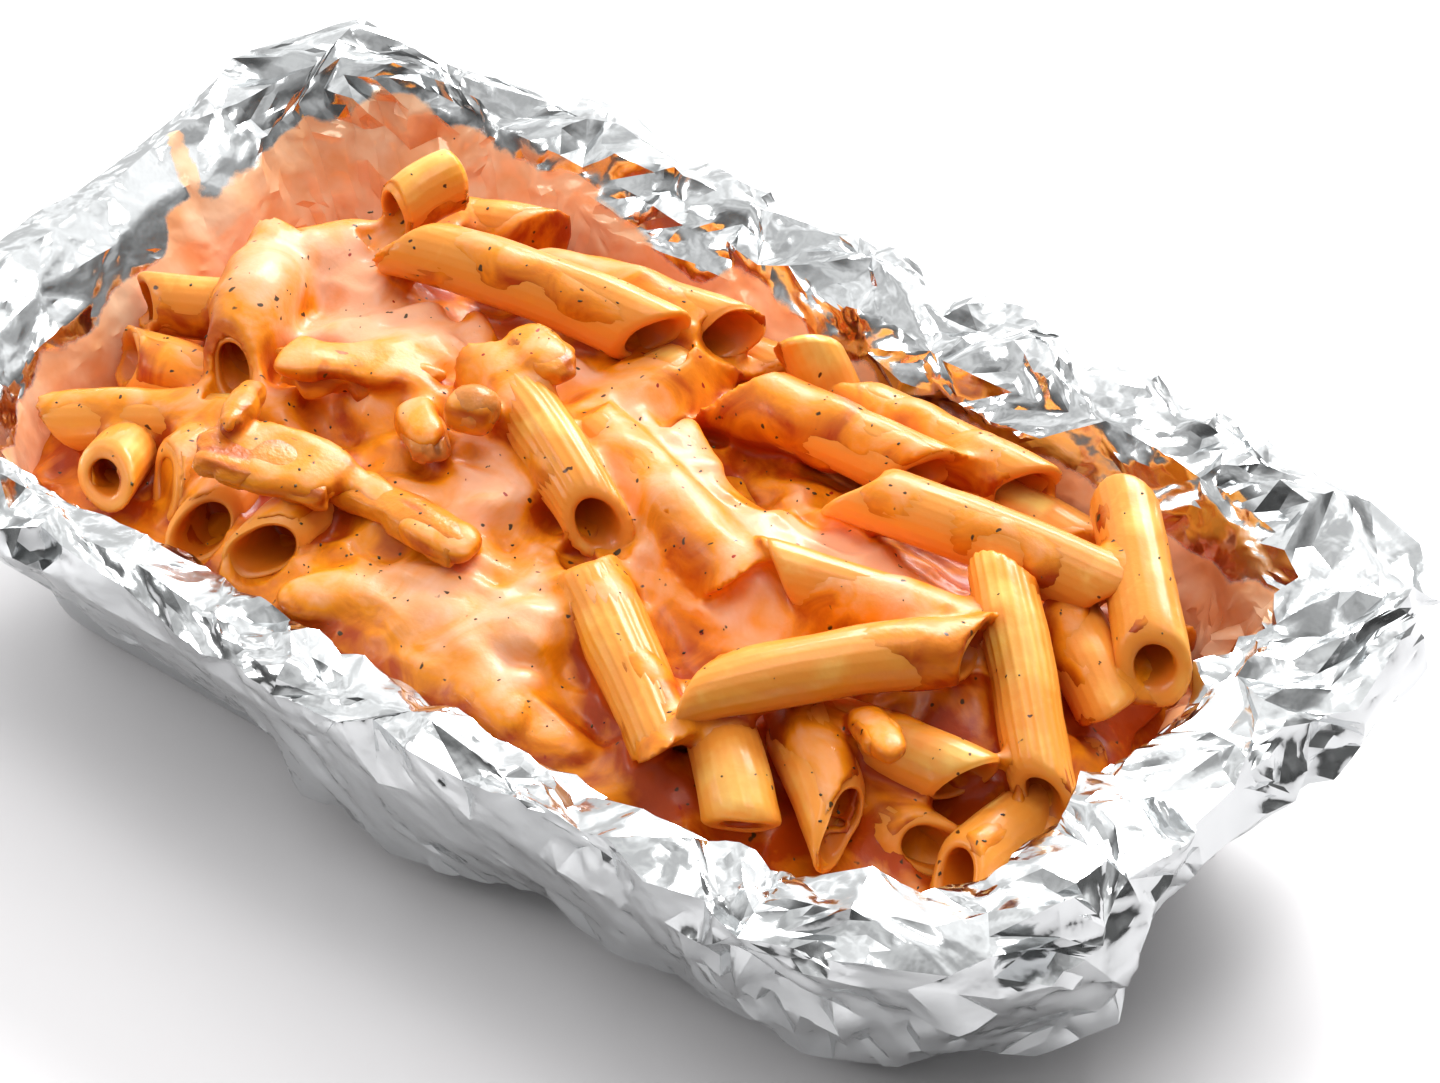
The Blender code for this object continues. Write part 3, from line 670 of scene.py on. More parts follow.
@dataclass(frozen=True)
class CookedChunkFinish:
    """Roast chicken pulled into strips, or fried mushroom, both wet with sauce.

    To the eye: orange-brown meat, painted darker in the grooves along its grain as painted shade; the
    mushroom is darker.
    """

    kind: Bite
    light: str = "#ec8c1c"
    # dark is painted into the grooves as painted shade, mixed with random tone
    dark: str = "#c05c10"
    pepper: str = "#3d1c08"
    tone_mm: float = 3.846
    groove_edge: Pair = (0.40, 1.25)
    grain_mm: float = 1.111
    grain_height_mm: float = 0.5
    grain_strength: float = 0.35
    roughness: Pair = (0.22, 0.46)
    wet: WetBody = WetBody(1.38, 0.2, (1.0, 0.4, 0.15), depth_mm=2.0)

    def material(self) -> bpy.types.Material:
        """Builds the material; the mesh says where its grooves are.

        Returns:
            The material.
        """
        material, tree, shader = new_material(f"cooked_{self.kind.value}_in_sauce")
        place = add_node(tree, "ShaderNodeTexCoord").outputs["Object"]
        groove = add_node(tree, "ShaderNodeAttribute", attribute_name="groove")
        tone = add_node(tree, "ShaderNodeTexNoise", {
            "Vector": place, "Scale": pattern_scale(self.tone_mm), "Detail": 4.0})
        # Grooves, with random tone, are painted towards the dark colour: painted shade in the grooves
        level = add_node(tree, "ShaderNodeMath", {
            0: groove.outputs["Fac"], 1: tone.outputs["Fac"]}, operation="ADD")
        share = add_node(tree, "ShaderNodeMapRange", {
            "Value": level.outputs[0], "From Min": self.groove_edge[0], "From Max": self.groove_edge[1]})
        body = add_node(tree, "ShaderNodeMix", {
            "Factor": share.outputs["Result"], "A": linear(self.light), "B": linear(self.dark)},
            data_type="RGBA")
        specks = speck_mask(tree, place, 2.4, 0.14, 0.25)
        colour = add_node(tree, "ShaderNodeMix", {
            "Factor": specks, "A": body.outputs["Result"], "B": linear(self.pepper)}, data_type="RGBA")
        grain = add_node(tree, "ShaderNodeTexNoise", {
            "Vector": place, "Scale": pattern_scale(self.grain_mm), "Detail": 3.0})
        bump = add_node(tree, "ShaderNodeBump", {
            "Height": grain.outputs["Fac"], "Strength": self.grain_strength,
            "Distance": self.grain_height_mm * MM})
        rough = add_node(tree, "ShaderNodeMapRange", {
            "Value": tone.outputs["Fac"], "To Min": self.roughness[0], "To Max": self.roughness[1]})
        shader.subsurface_method = "BURLEY"
        fill_sockets(shader, {
            "Base Color": colour.outputs["Result"], "Roughness": rough.outputs["Result"],
            "Normal": bump.outputs["Normal"], **self.wet.sockets()})
        return material


@dataclass(frozen=True)
class DriedHerbFinish:
    """Dried parsley and cracked pepper, rubbed small: matt, dark green-brown flecks."""

    dark: str = "#2c1a0c"
    green: str = "#4a4318"
    tone_mm: float = 3.333
    roughness: float = 0.5

    def material(self) -> bpy.types.Material:
        """Builds the flecks' material.

        Returns:
            The material.
        """
        material, tree, shader = new_material("rubbed_dried_herb")
        place = add_node(tree, "ShaderNodeTexCoord").outputs["Object"]
        tone = add_node(tree, "ShaderNodeTexNoise", {"Vector": place, "Scale": pattern_scale(self.tone_mm)})
        colour = add_node(tree, "ShaderNodeValToRGB", {"Fac": tone.outputs["Fac"]},
                          stops=((0.42, self.dark), (0.6, self.green)))
        fill_sockets(shader, {"Base Color": colour.outputs["Color"], "Roughness": self.roughness})
        return material


@dataclass(frozen=True)
class LacqueredTableFinish:
    """White lacquered board: bright, with a soft blurred reflection of what stands on it."""

    colour: str = "#f4f2f3"
    shade: str = "#efedee"
    tone_mm: float = 83.333
    roughness: float = 0.34

    def material(self) -> bpy.types.Material:
        """Builds the floor's material.

        Returns:
            The material.
        """
        material, tree, shader = new_material("white_lacquered_board")
        place = add_node(tree, "ShaderNodeTexCoord").outputs["Object"]
        tone = add_node(tree, "ShaderNodeTexNoise", {
            "Vector": place, "Scale": pattern_scale(self.tone_mm), "Detail": 4.0})
        colour = add_node(tree, "ShaderNodeMix", {
            "Factor": tone.outputs["Fac"], "A": linear(self.colour), "B": linear(self.shade)},
            data_type="RGBA")
        fill_sockets(shader, {"Base Color": colour.outputs["Result"], "Roughness": self.roughness})
        return material


# The crumpled foil

@dataclass
class FoilWrap:
    """Household foil that lines the tray's wall, rolls over its rim and hangs outside it.

    Its large folds are the CAD model's own. Each of them is then broken into finer creases.
    """

    seed: int = 7
    stations: int = 66
    neck_row: int = 4
    low_edge: float = 8.0
    wall_gap: float = 2.6
    over_rim: float = 36.0
    roll_drop: float = 7.5
    roll_rise: float = 1.2
    rim_clearance: float = 6.4
    hem_clearance: float = 3.0
    tray_rim: float = 34.5
    slip: float = 0.32
    mix: float = 0.2
    thickness: float = 0.25
    fold_push: float = 0.13
    crumple_push: float = 0.065
    fine_push: float = 0.025
    facet_bulge: float = 0.05
    wall_calm: float = 0.65
    crease_angle: float = 24.0
    pleat_mm: float = 7.0
    tray_gap: float = 1.0
    way_round_mm: float = 577.0
    slope_step: float = 0.5

    # How the large folds are crumpled: inward below the neck, and out and up above it
    crumple_in: float = 1.5
    crumple_out: Pair = (-2.2, 2.6)
    crumple_up: Pair = (-1.2, 1.8)
    crest_drop: float = 0.5
    collar_moves: tuple[Pair, ...] = ((1.0, -3.5), (2.6, -6.0), (0.8, -2.6), (0.0, 0.4))

    # Stretches of the way round: where each begins, is whole, starts to end and has ended
    pocket: Span = (0.14, 0.18, 0.33, 0.37)
    far_side: Span = (0.34, 0.40, 0.58, 0.64)
    peak_corner: Span = (0.585, 0.62, 0.69, 0.73)
    smooth_collar: Span = (0.69, 0.72, 0.82, 0.86)
    quiet_collar: Span = (0.67, 0.71, 0.84, 0.88)

    # The same across the band, from the low inner edge (row 0) to the hem (row 10)
    collar_rows: Span = (4.2, 4.8, 7.2, 8.0)
    spill_rows: Span = (4.4, 4.8, 7.4, 7.8)
    lining_top: Pair = (32.5, 35.5)
    lining_rows: float = 5.0
    edge_rows: Pair = (0.5, 9.5)

    # Sauce spilt on the collar: x and y where each drip starts and ends, and its half width
    drips: tuple[tuple[float, ...], ...] = (
        (-109.4, 17.2, -103.2, 13.9, 2.2), (-103.2, 13.9, -95.6, 16.5, 1.6), (-96, 12, -92, 10, 2.4),
    )
    drip_strength: float = 0.8

    # How high the sauce is smeared on the lining: share of the way round, and height
    smear_tops: tuple[Pair, ...] = (
        (0.0, 35), (0.1, 34), (0.14, 28), (0.2, 25), (0.25, 27), (0.28, 34), (0.33, 39), (0.36, 37),
        (0.42, 38), (0.5, 40), (0.56, 43), (0.6, 47), (0.64, 49), (0.68, 47), (0.74, 43), (0.8, 39),
        (0.86, 36), (1.0, 35),
    )
    smear_wave: float = 5.0
    smear_fade: float = 3.0

    # Share of the way round, crest's lift, bow outward, width of the roll, height of the hem, its flare
    places: tuple[tuple[float, ...], ...] = (
        (0.00, -1.0, 0.5, 9.0, 6.0, 8.0), (0.03, -1.0, 0.5, 9.0, 7.0, 6.0),
        (0.07, -1.0, -0.5, 9.0, 8.0, 4.0), (0.12, 0.0, -3.0, 11.0, 10.0, 3.0),
        (0.155, 1.0, -6.0, 16.0, 9.0, 2.0), (0.18, -1.0, -3.0, 15.0, 9.0, 4.0),
        (0.195, -1.0, -2.0, 17.0, 10.0, 12.0), (0.205, -1.0, -1.5, 17.0, 11.0, 21.0),
        (0.22, -1.0, -1.5, 16.0, 18.0, 17.0), (0.235, -1.0, -1.0, 15.0, 22.0, 12.0),
        (0.27, -1.0, 0.5, 14.0, 22.0, 12.0), (0.30, -1.0, 0.5, 16.0, 24.0, 14.0),
        (0.325, 0.0, 1.5, 19.0, 28.0, 20.0), (0.345, 2.0, 0.0, 19.0, 28.0, 19.0),
        (0.36, 4.0, -1.0, 15.0, 26.0, 9.0), (0.40, 5.0, 0.0, 14.0, 24.0, 7.0),
        (0.45, 5.0, -2.0, 15.0, 24.0, 7.0), (0.50, 6.0, 0.0, 13.0, 24.0, 7.0),
        (0.56, 6.0, 1.0, 12.0, 24.0, 7.0), (0.595, 8.0, 0.0, 15.0, 24.0, 7.0),
        (0.63, 8.0, 0.0, 9.0, 24.0, 7.0), (0.65, 10.0, 1.0, 8.0, 24.0, 8.0),
        (0.663, 16.0, 3.0, 11.0, 24.0, 8.0), (0.675, 13.0, 3.0, 12.0, 24.0, 8.0),
        (0.69, 10.0, 2.0, 14.0, 24.0, 9.0), (0.73, 9.0, 1.0, 16.0, 24.0, 10.0),
        (0.78, 8.0, 1.0, 16.0, 24.0, 10.0), (0.83, 3.0, 0.0, 12.0, 22.0, 7.0),
        (0.86, 0.0, -1.0, 9.0, 18.0, 4.0), (0.90, -1.0, -0.5, 9.0, 14.0, 3.0),
        (0.945, -1.0, -0.3, 9.0, 12.0, 3.0), (0.98, -1.0, 0.3, 9.0, 6.0, 8.0),
    )

    # Share of the way round, and how far the rim is pressed into a sloping collar there
    collars: tuple[Pair, ...] = (
        (0.0, 0.0), (0.34, 0.0), (0.38, 0.5), (0.58, 0.5), (0.64, 0.35), (0.69, 0.9), (0.81, 1.0),
        (0.85, 0.2), (0.90, 0.0), (1.0, 0.0),
    )

    def place_values(self, share: float) -> list[float]:
        """Returns the foil's lift, bow, roll, hem height and flare at a share of the way round.

        Args:
            share: the share of the way round, from 0 to 1.

        Returns:
            What the table of places says there.
        """
        share %= 1.0
        places = self.places + ((1.0, *self.places[0][1:]),)
        for here, after in zip(places, places[1:]):
            if share <= after[0]:
                t = (share - here[0]) / (after[0] - here[0])
                t = t * t * (3 - 2 * t)
                return [a + (b - a) * t for a, b in zip(here[1:], after[1:])]
        return list(places[0][1:])

    def collar_at(self, share: float) -> float:
        """Returns how far the rim is pressed into a collar that slopes up and outward, from 0 to 1."""
        spots, amounts = zip(*self.collars)
        return float(np.interp(share % 1.0, spots, amounts))

    def section(self, share: float) -> list[tuple[float, float]]:
        """Returns offset and height pairs from the low inner edge, over the crest, to the hem.

        Args:
            share: the share of the way round, from 0 to 1.

        Returns:
            Pairs of distance from the crest line and height.
        """
        lift, bow, roll, hem, flare = self.place_values(share)
        crest = OUTLINE.height + lift
        climb = [self.low_edge + (self.over_rim - self.low_edge) * k / 3 for k in range(4)]
        inner = [(OUTLINE.wall(z) - self.wall_gap, z) for z in climb]
        neck = ((inner[-1][0] + bow) / 2, (inner[-1][1] + crest) / 2)
        over = (bow + roll, crest - self.crest_drop)
        top = [neck, (bow, crest), (bow + roll / 2, crest + self.roll_rise), over]
        collar = self.collar_at(share)
        top = [(x + dx * collar, z + dz * collar) for (x, z), (dx, dz) in zip(top, self.collar_moves)]
        side = (bow + roll + 0.5, crest - self.roll_drop)
        edge = (OUTLINE.wall(hem) + flare, hem)
        tuck = ((side[0] + edge[0]) / 2, (side[1] + edge[1]) / 2)
        return inner + top + [side, tuck, edge]

    def crumpled(self, point: tuple[float, float], row: int, rng: random.Random) -> tuple[float, float]:
        """Returns a section point after the crumpling, kept off the tray's wall and rim.

        Args:
            point: distance from the crest line and height.
            row: the point's place across the band.
            rng: the random draws.

        Returns:
            The moved distance and height.
        """
        offset, height = point
        if row < self.neck_row:
            return offset - rng.uniform(0.0, self.crumple_in), height
        offset += rng.uniform(*self.crumple_out)
        height += rng.uniform(*self.crumple_up)
        if row <= self.neck_row + 1:
            offset = min(offset, point[0])
            height = max(height, point[1])
        if row > self.neck_row + 2 and height > self.tray_rim - self.roll_drop:
            offset = max(offset, self.rim_clearance)
        if row > self.neck_row + 3:
            offset = max(offset, OUTLINE.wall(height) + self.hem_clearance)
        return offset, height

    def large_folds(self) -> tuple[np.ndarray, np.ndarray, np.ndarray]:
        """Lays out the CAD model's large facets.

        Returns:
            The points, the triangles, and each point's row from the low inner edge.
        """
        rng = random.Random(self.seed)
        rows = len(self.section(0.0))
        verts, places, faces = [], [], []
        for station in range(self.stations):
            for row in range(rows):
                slip = rng.uniform(-self.slip, self.slip) if 0 < row < rows - 1 else 0.0
                share = (station + slip) / self.stations
                section = self.section(share)
                here = section[row]
                if 0 < row < rows - 1 and row not in (self.neck_row - 1, self.neck_row + 1):
                    mix = rng.uniform(-self.mix, self.mix)
                    other = section[row + (1 if mix > 0 else -1)]
                    here = tuple(a + (b - a) * abs(mix) for a, b in zip(here, other))
                offset, height = self.crumpled(here, row, rng)
                verts.append((*OUTLINE.at(share, offset), height))
                places.append(float(row))
        for station in range(self.stations):
            left = station * rows
            right = (station + 1) % self.stations * rows
            for row in range(rows - 1):
                a, b, c, d = left + row, right + row, right + row + 1, left + row + 1
                faces += [(a, b, c), (a, c, d)] if rng.random() < 0.5 else [(a, b, d), (b, c, d)]
        return np.array(verts), np.array(faces), np.array(places)

    def calmed(self, verts: np.ndarray, faces: np.ndarray, row: np.ndarray) -> np.ndarray:
        """Evens out the lining and the near skirt, where the real foil lies in large smooth planes.

        Args:
            verts: the foil's points.
            faces: its faces.
            row: each point's place across the band.

        Returns:
            The points, moved.
        """
        share = OUTLINE.share_of(verts[:, 0], verts[:, 1])
        pocket = stretch(share, self.pocket)
        calm = self.wall_calm * (1 - soft_step(row, 3.2, 4.6)) * (1 - pocket)
        calm = calm + 0.75 * self.near_skirt(verts, row)
        calm = calm + 0.6 * stretch(share, self.smooth_collar) * stretch(row, self.collar_rows)
        for _ in range(2):
            total = np.zeros_like(verts)
            count = np.zeros(len(verts))
            for a, b in ((0, 1), (1, 2), (2, 0)):
                np.add.at(total, faces[:, a], verts[faces[:, b]])
                np.add.at(total, faces[:, b], verts[faces[:, a]])
                np.add.at(count, faces[:, a], 1)
                np.add.at(count, faces[:, b], 1)
            mean = total / count[:, None]
            edge = ((row < self.edge_rows[0]) | (row > self.edge_rows[1]))[:, None]
            verts = np.where(edge, verts, blend(verts, mean, np.clip(calm, 0, 0.8)[:, None] * 0.6))
        return verts

    def pleated(self, verts: np.ndarray, row: np.ndarray) -> np.ndarray:
        """Presses upright pleats into the lining, deepest at the far left corner.

        Args:
            verts: the foil's points.
            row: each point's place across the band.

        Returns:
            The points, moved.
        """
        share = OUTLINE.share_of(verts[:, 0], verts[:, 1])
        depth = (1 - soft_step(row, 4.4, 5.6)) * (0.4 + 1.1 * stretch(share, self.peak_corner))
        run = share * self.way_round_mm / self.pleat_mm + 0.9 * noise_at(verts * (1, 1, 0.3), 12.0, 9)
        fold = 1 - np.abs(run % 1.0 - 0.5) * 2
        return verts - OUTLINE.outward(verts, self.slope_step) * (depth * fold)[:, None]

    def kept_inside(self, verts: np.ndarray, row: np.ndarray) -> np.ndarray:
        """Draws back the points of the lining that would poke through the tray's wall.

        Args:
            verts: the foil's points.
            row: each point's place across the band.

        Returns:
            The points, moved.
        """
        past = OUTLINE.outside(verts[:, 0], verts[:, 1]) - OUTLINE.wall(verts[:, 2]) + self.tray_gap
        lining = (1 - soft_step(verts[:, 2], *self.lining_top)) * (row < self.lining_rows)
        return verts - OUTLINE.outward(verts, self.slope_step) * (np.maximum(past, 0.0) * lining)[:, None]

    def near_skirt(self, verts: np.ndarray, row: np.ndarray) -> np.ndarray:
        """Returns 1 on the smooth skirt of the near long side, 0 elsewhere.

        Args:
            verts: the foil's points.
            row: each point's place across the band.

        Returns:
            A share from 0 to 1 for each point.
        """
        share = OUTLINE.share_of(verts[:, 0], verts[:, 1])
        side = soft_step(share, 0.84, 0.88) + 1 - soft_step(share, 0.08, 0.12)
        return soft_step(row, 7.3, 8.3) * np.clip(side, 0, 1)

    def liveliness(self, verts: np.ndarray, row: np.ndarray) -> np.ndarray:
        """Returns how strongly the foil is creased at each point.

        Args:
            verts: the foil's points.
            row: each point's place across the band.

        Returns:
            A factor for each point.
        """
        share = OUTLINE.share_of(verts[:, 0], verts[:, 1])
        patches = np.clip(0.60 + 1.35 * noise_at(verts, 12.0, 5), 0.12, 1.6)
        lining = 1 - 0.6 * (1 - soft_step(row, 3.6, 5.0)) * (1 - stretch(share, self.pocket))
        collar = 1 - 0.78 * stretch(share, self.quiet_collar)
        far = 1 - 0.35 * stretch(share, self.far_side)
        return patches * (1 - 0.8 * self.near_skirt(verts, row)) * lining * collar * far

    def creased(self, verts: np.ndarray, faces: np.ndarray, row: np.ndarray, facet: np.ndarray, push: float,
                bulge: np.ndarray, rng: np.random.Generator) -> tuple[np.ndarray, ...]:
        """Breaks every triangle into four, with the new corners pushed in or out.

        Args:
            verts: the points.
            faces: the triangles.
            row: each point's row across the band.
            facet: which facet each triangle belongs to.
            push: how far corners on a crease move, as a share of the edge's length.
            bulge: how far each facet's inner corners move out, as a share of the edge's length.
            rng: where the chances come from.

        Returns:
            The new points, triangles, rows and facets.
        """
        sides = np.sort(np.concatenate([faces[:, [0, 1]], faces[:, [1, 2]], faces[:, [2, 0]]]), axis=1)
        edges, index = np.unique(sides, axis=0, return_inverse=True)
        index = index.reshape(3, -1).T
        a, b = verts[edges[:, 0]], verts[edges[:, 1]]
        tilt = np.cross(verts[faces[:, 1]] - verts[faces[:, 0]], verts[faces[:, 2]] - verts[faces[:, 0]])
        normal = np.zeros_like(a)
        for side in range(3):
            np.add.at(normal, index[:, side], tilt)
        normal /= np.linalg.norm(normal, axis=1, keepdims=True) + 1e-9
        share = rng.uniform(0.38, 0.62, (len(edges), 1))
        middle = a + (b - a) * share
        middle_row = row[edges[:, 0]] + (row[edges[:, 1]] - row[edges[:, 0]]) * share[:, 0]
        length = np.linalg.norm(b - a, axis=1)
        low = np.full(len(edges), len(faces))
        high = np.full(len(edges), -1)
        for side in range(3):
            np.minimum.at(low, index[:, side], facet)
            np.maximum.at(high, index[:, side], facet)
        chance = np.clip(rng.normal(0, 1, len(edges)), -2, 2) * push * self.liveliness(middle, middle_row)
        move = np.where(low == high, bulge[low], chance)
        middle = middle + normal * (move * length)[:, None]
        first = len(verts)
        m = index + first
        faces = np.concatenate([
            np.stack([faces[:, 0], m[:, 0], m[:, 2]], 1), np.stack([m[:, 0], faces[:, 1], m[:, 1]], 1),
            np.stack([m[:, 2], m[:, 1], faces[:, 2]], 1), m])
        return np.concatenate([verts, middle]), faces, np.concatenate([row, middle_row]), np.tile(facet, 4)

    def smears(self, verts: np.ndarray, row: np.ndarray) -> np.ndarray:
        """Returns how much sauce is smeared over the inner wall at each point.

        Args:
            verts: the foil's points.
            row: each point's place across the band.

        Returns:
            A share from 0 to 1 for each point.
        """
        share = OUTLINE.share_of(verts[:, 0], verts[:, 1])
        wave = noise_at(verts * (1, 1, 0.35), 9.0, 21) * self.smear_wave
        top = np.interp(share, *zip(*self.smear_tops))
        inside = 1 - soft_step(row, 4.6, 5.1)
        smear = inside * (1 - soft_step(verts[:, 2] - top - wave, -self.smear_fade, self.smear_fade))
        for ax, ay, bx, by, half in self.drips:
            along = np.array((bx - ax, by - ay))
            away = verts[:, :2] - np.array((ax, ay))
            t = np.clip(away @ along / (along @ along), 0.0, 1.0)
            gap = np.hypot(*(away - t[:, None] * along).T)
            spill = (1 - soft_step(gap, half * 0.6, half * 1.3)) * stretch(row, self.spill_rows)
            smear = np.maximum(smear, spill * self.drip_strength)
        return smear

    def build(self) -> bpy.types.Object:
        """Builds the wrap as one crumpled solid sheet and stands it for the CAD foil.

        Returns:
            The piece.
        """
        verts, faces, row = self.large_folds()
        verts = self.calmed(verts, faces, row)
        rng = np.random.default_rng(self.seed)
        flat = np.zeros(len(faces))
        start = np.arange(len(faces))
        verts, faces, row, _ = self.creased(verts, faces, row, start, self.fold_push, flat, rng)
        facet = np.arange(len(faces))
        bulge = rng.normal(0, self.facet_bulge, len(faces))
        verts, faces, row, facet = self.creased(verts, faces, row, facet, self.crumple_push, bulge, rng)
        verts = self.pleated(verts, row)
        verts, faces, row, facet = self.creased(verts, faces, row, facet, self.fine_push, bulge, rng)
        verts = self.kept_inside(verts, row)
        item = make_piece("crumpled_foil_wrap", verts, faces, CrumpledFoilFinish().material())
        set_values(item, "smear", self.smears(verts, row))
        solid = item.modifiers.new("thickness", "SOLIDIFY")
        solid.thickness = self.thickness * MM
        solid.offset = 1.0
        apply_modifiers(item)
        item.data.set_sharp_from_angle(angle=math.radians(self.crease_angle))
        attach(item, "root")
        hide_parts("foil_wrap")
        LOG.info("foil wrap: %d faces", len(item.data.polygons))
        return item


# The pressed tray

@dataclass
class PressedTray:
    """The smooth aluminium tray under the foil, with rounded corners and a curled rim."""

    rim_height: float = 34.5
    rim_width: float = 4.0
    bead: float = 1.6
    fillet: float = 6.0
    thickness: float = 0.6
    corner_steps: int = 14
    fillet_steps: int = 6
    side_steps: int = 24
    curl: float = 0.7
    rim_round: float = 0.6
    sharp_angle: float = 35.0

    def section(self) -> list[tuple[float, float]]:
        """Returns the outer section from the flat bottom to the rim's curl.

        Returns:
            Pairs of distance from the crest line and height.
        """
        foot = OUTLINE.wall(0.0) - self.fillet
        points = [(foot, 0.0)]
        for k in range(1, self.fillet_steps + 1):
            angle = math.pi / 2 * k / self.fillet_steps
            lean = (OUTLINE.wall(self.fillet) - OUTLINE.wall(0.0)) * (k / self.fillet_steps) ** 2
            points.append((foot + self.fillet * math.sin(angle) + lean, self.fillet * (1 - math.cos(angle))))
        points.append((OUTLINE.wall(self.rim_height * 0.5), self.rim_height * 0.5))
        points.append((OUTLINE.wall(self.rim_height - self.curl), self.rim_height - self.curl))
        points.append((OUTLINE.wall(self.rim_height) + self.curl, self.rim_height))
        points.append((self.rim_width - self.rim_round, self.rim_height))
        points.append((self.rim_width, self.rim_height - self.rim_round))
        points.append((self.rim_width, self.rim_height - self.bead))
        return points

    def shares(self) -> list[float]:
        """Returns the places of the ring's points, dense round the corners.

        Returns:
            Shares of the way round, from 0 to 1.
        """
        half_x = OUTLINE.length / 2 - OUTLINE.radius
        half_y = OUTLINE.width / 2 - OUTLINE.radius
        arc = math.pi / 2 * OUTLINE.radius
        whole = 4 * (half_x + half_y + arc)
        turn = arc + 2 * half_y
        starts = (half_x, half_x + turn, 3 * half_x + arc + turn, 3 * half_x + arc + 2 * turn)
        shares = [k / self.side_steps for k in range(self.side_steps)]
        shares = [s for s in shares if all(not start - 1 < s * whole < start + arc + 1 for start in starts)]
        for start in starts:
            shares += [(start + arc * k / self.corner_steps) / whole for k in range(self.corner_steps + 1)]
        return sorted(shares)

    def build(self) -> bpy.types.Object:
        """Builds the tray and stands it for the CAD tray.

        Returns:
            The piece.
        """
        shares = self.shares()
        section = self.section()
        verts = [(*OUTLINE.at(share, offset), height) for offset, height in section for share in shares]
        count = len(shares)
        faces = [tuple(range(count - 1, -1, -1))]
        for row in range(len(section) - 1):
            low, high = row * count, (row + 1) * count
            for k in range(count):
                after = (k + 1) % count
                faces.append((low + k, low + after, high + after, high + k))
        item = make_piece("pressed_tray", np.array(verts), faces, PressedFoilFinish().material())
        solid = item.modifiers.new("thickness", "SOLIDIFY")
        solid.thickness = self.thickness * MM
        solid.offset = -1.0
        item.data.set_sharp_from_angle(angle=math.radians(self.sharp_angle))
        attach(item, "root")
        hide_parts("tray")
        LOG.info("pressed tray: %d rings", len(section))
        return item


# The food

@dataclass
class HeapFloor:
    """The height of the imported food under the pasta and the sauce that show."""

    xs: tuple[float, ...] = (-96.0, -64.0, -32.0, 0.0, 32.0, 64.0, 96.0)
    ys: tuple[float, ...] = (-54.0, -27.0, 0.0, 27.0, 54.0)
    tops: tuple[tuple[float, ...], ...] = (
        (27.0, 34.0, 38.0, 38.5, 36.0, 27.0, 21.0),
        (29.0, 38.0, 43.0, 43.0, 39.0, 29.0, 24.0),
        (31.0, 42.0, 45.0, 44.0, 41.0, 36.0, 27.0),
        (31.0, 44.0, 43.0, 40.0, 38.0, 34.0, 17.0),
        (27.0, 34.0, 31.0, 28.0, 28.0, 23.0, 12.0),
    )

    def height(self, x: np.ndarray, y: np.ndarray) -> np.ndarray:
        """Returns the heights at places.

        Args:
            x: places along, in millimetres.
            y: places across.

        Returns:
            The heights in millimetres.
        """
        table = np.array(self.tops)
        gx = (np.asarray(x, float) - self.xs[0]) / (self.xs[1] - self.xs[0])
        gy = (np.asarray(y, float) - self.ys[0]) / (self.ys[1] - self.ys[0])
        gx, gy = np.clip(gx, 0, len(self.xs) - 1.0001), np.clip(gy, 0, len(self.ys) - 1.0001)
        i, j = gx.astype(int), gy.astype(int)
        u, v = soft_step(gx - i, 0, 1), soft_step(gy - j, 0, 1)
        near = blend(table[j, i], table[j, i + 1], u)
        far = blend(table[j + 1, i], table[j + 1, i + 1], u)
        return blend(near, far, v)


HEAP = HeapFloor()


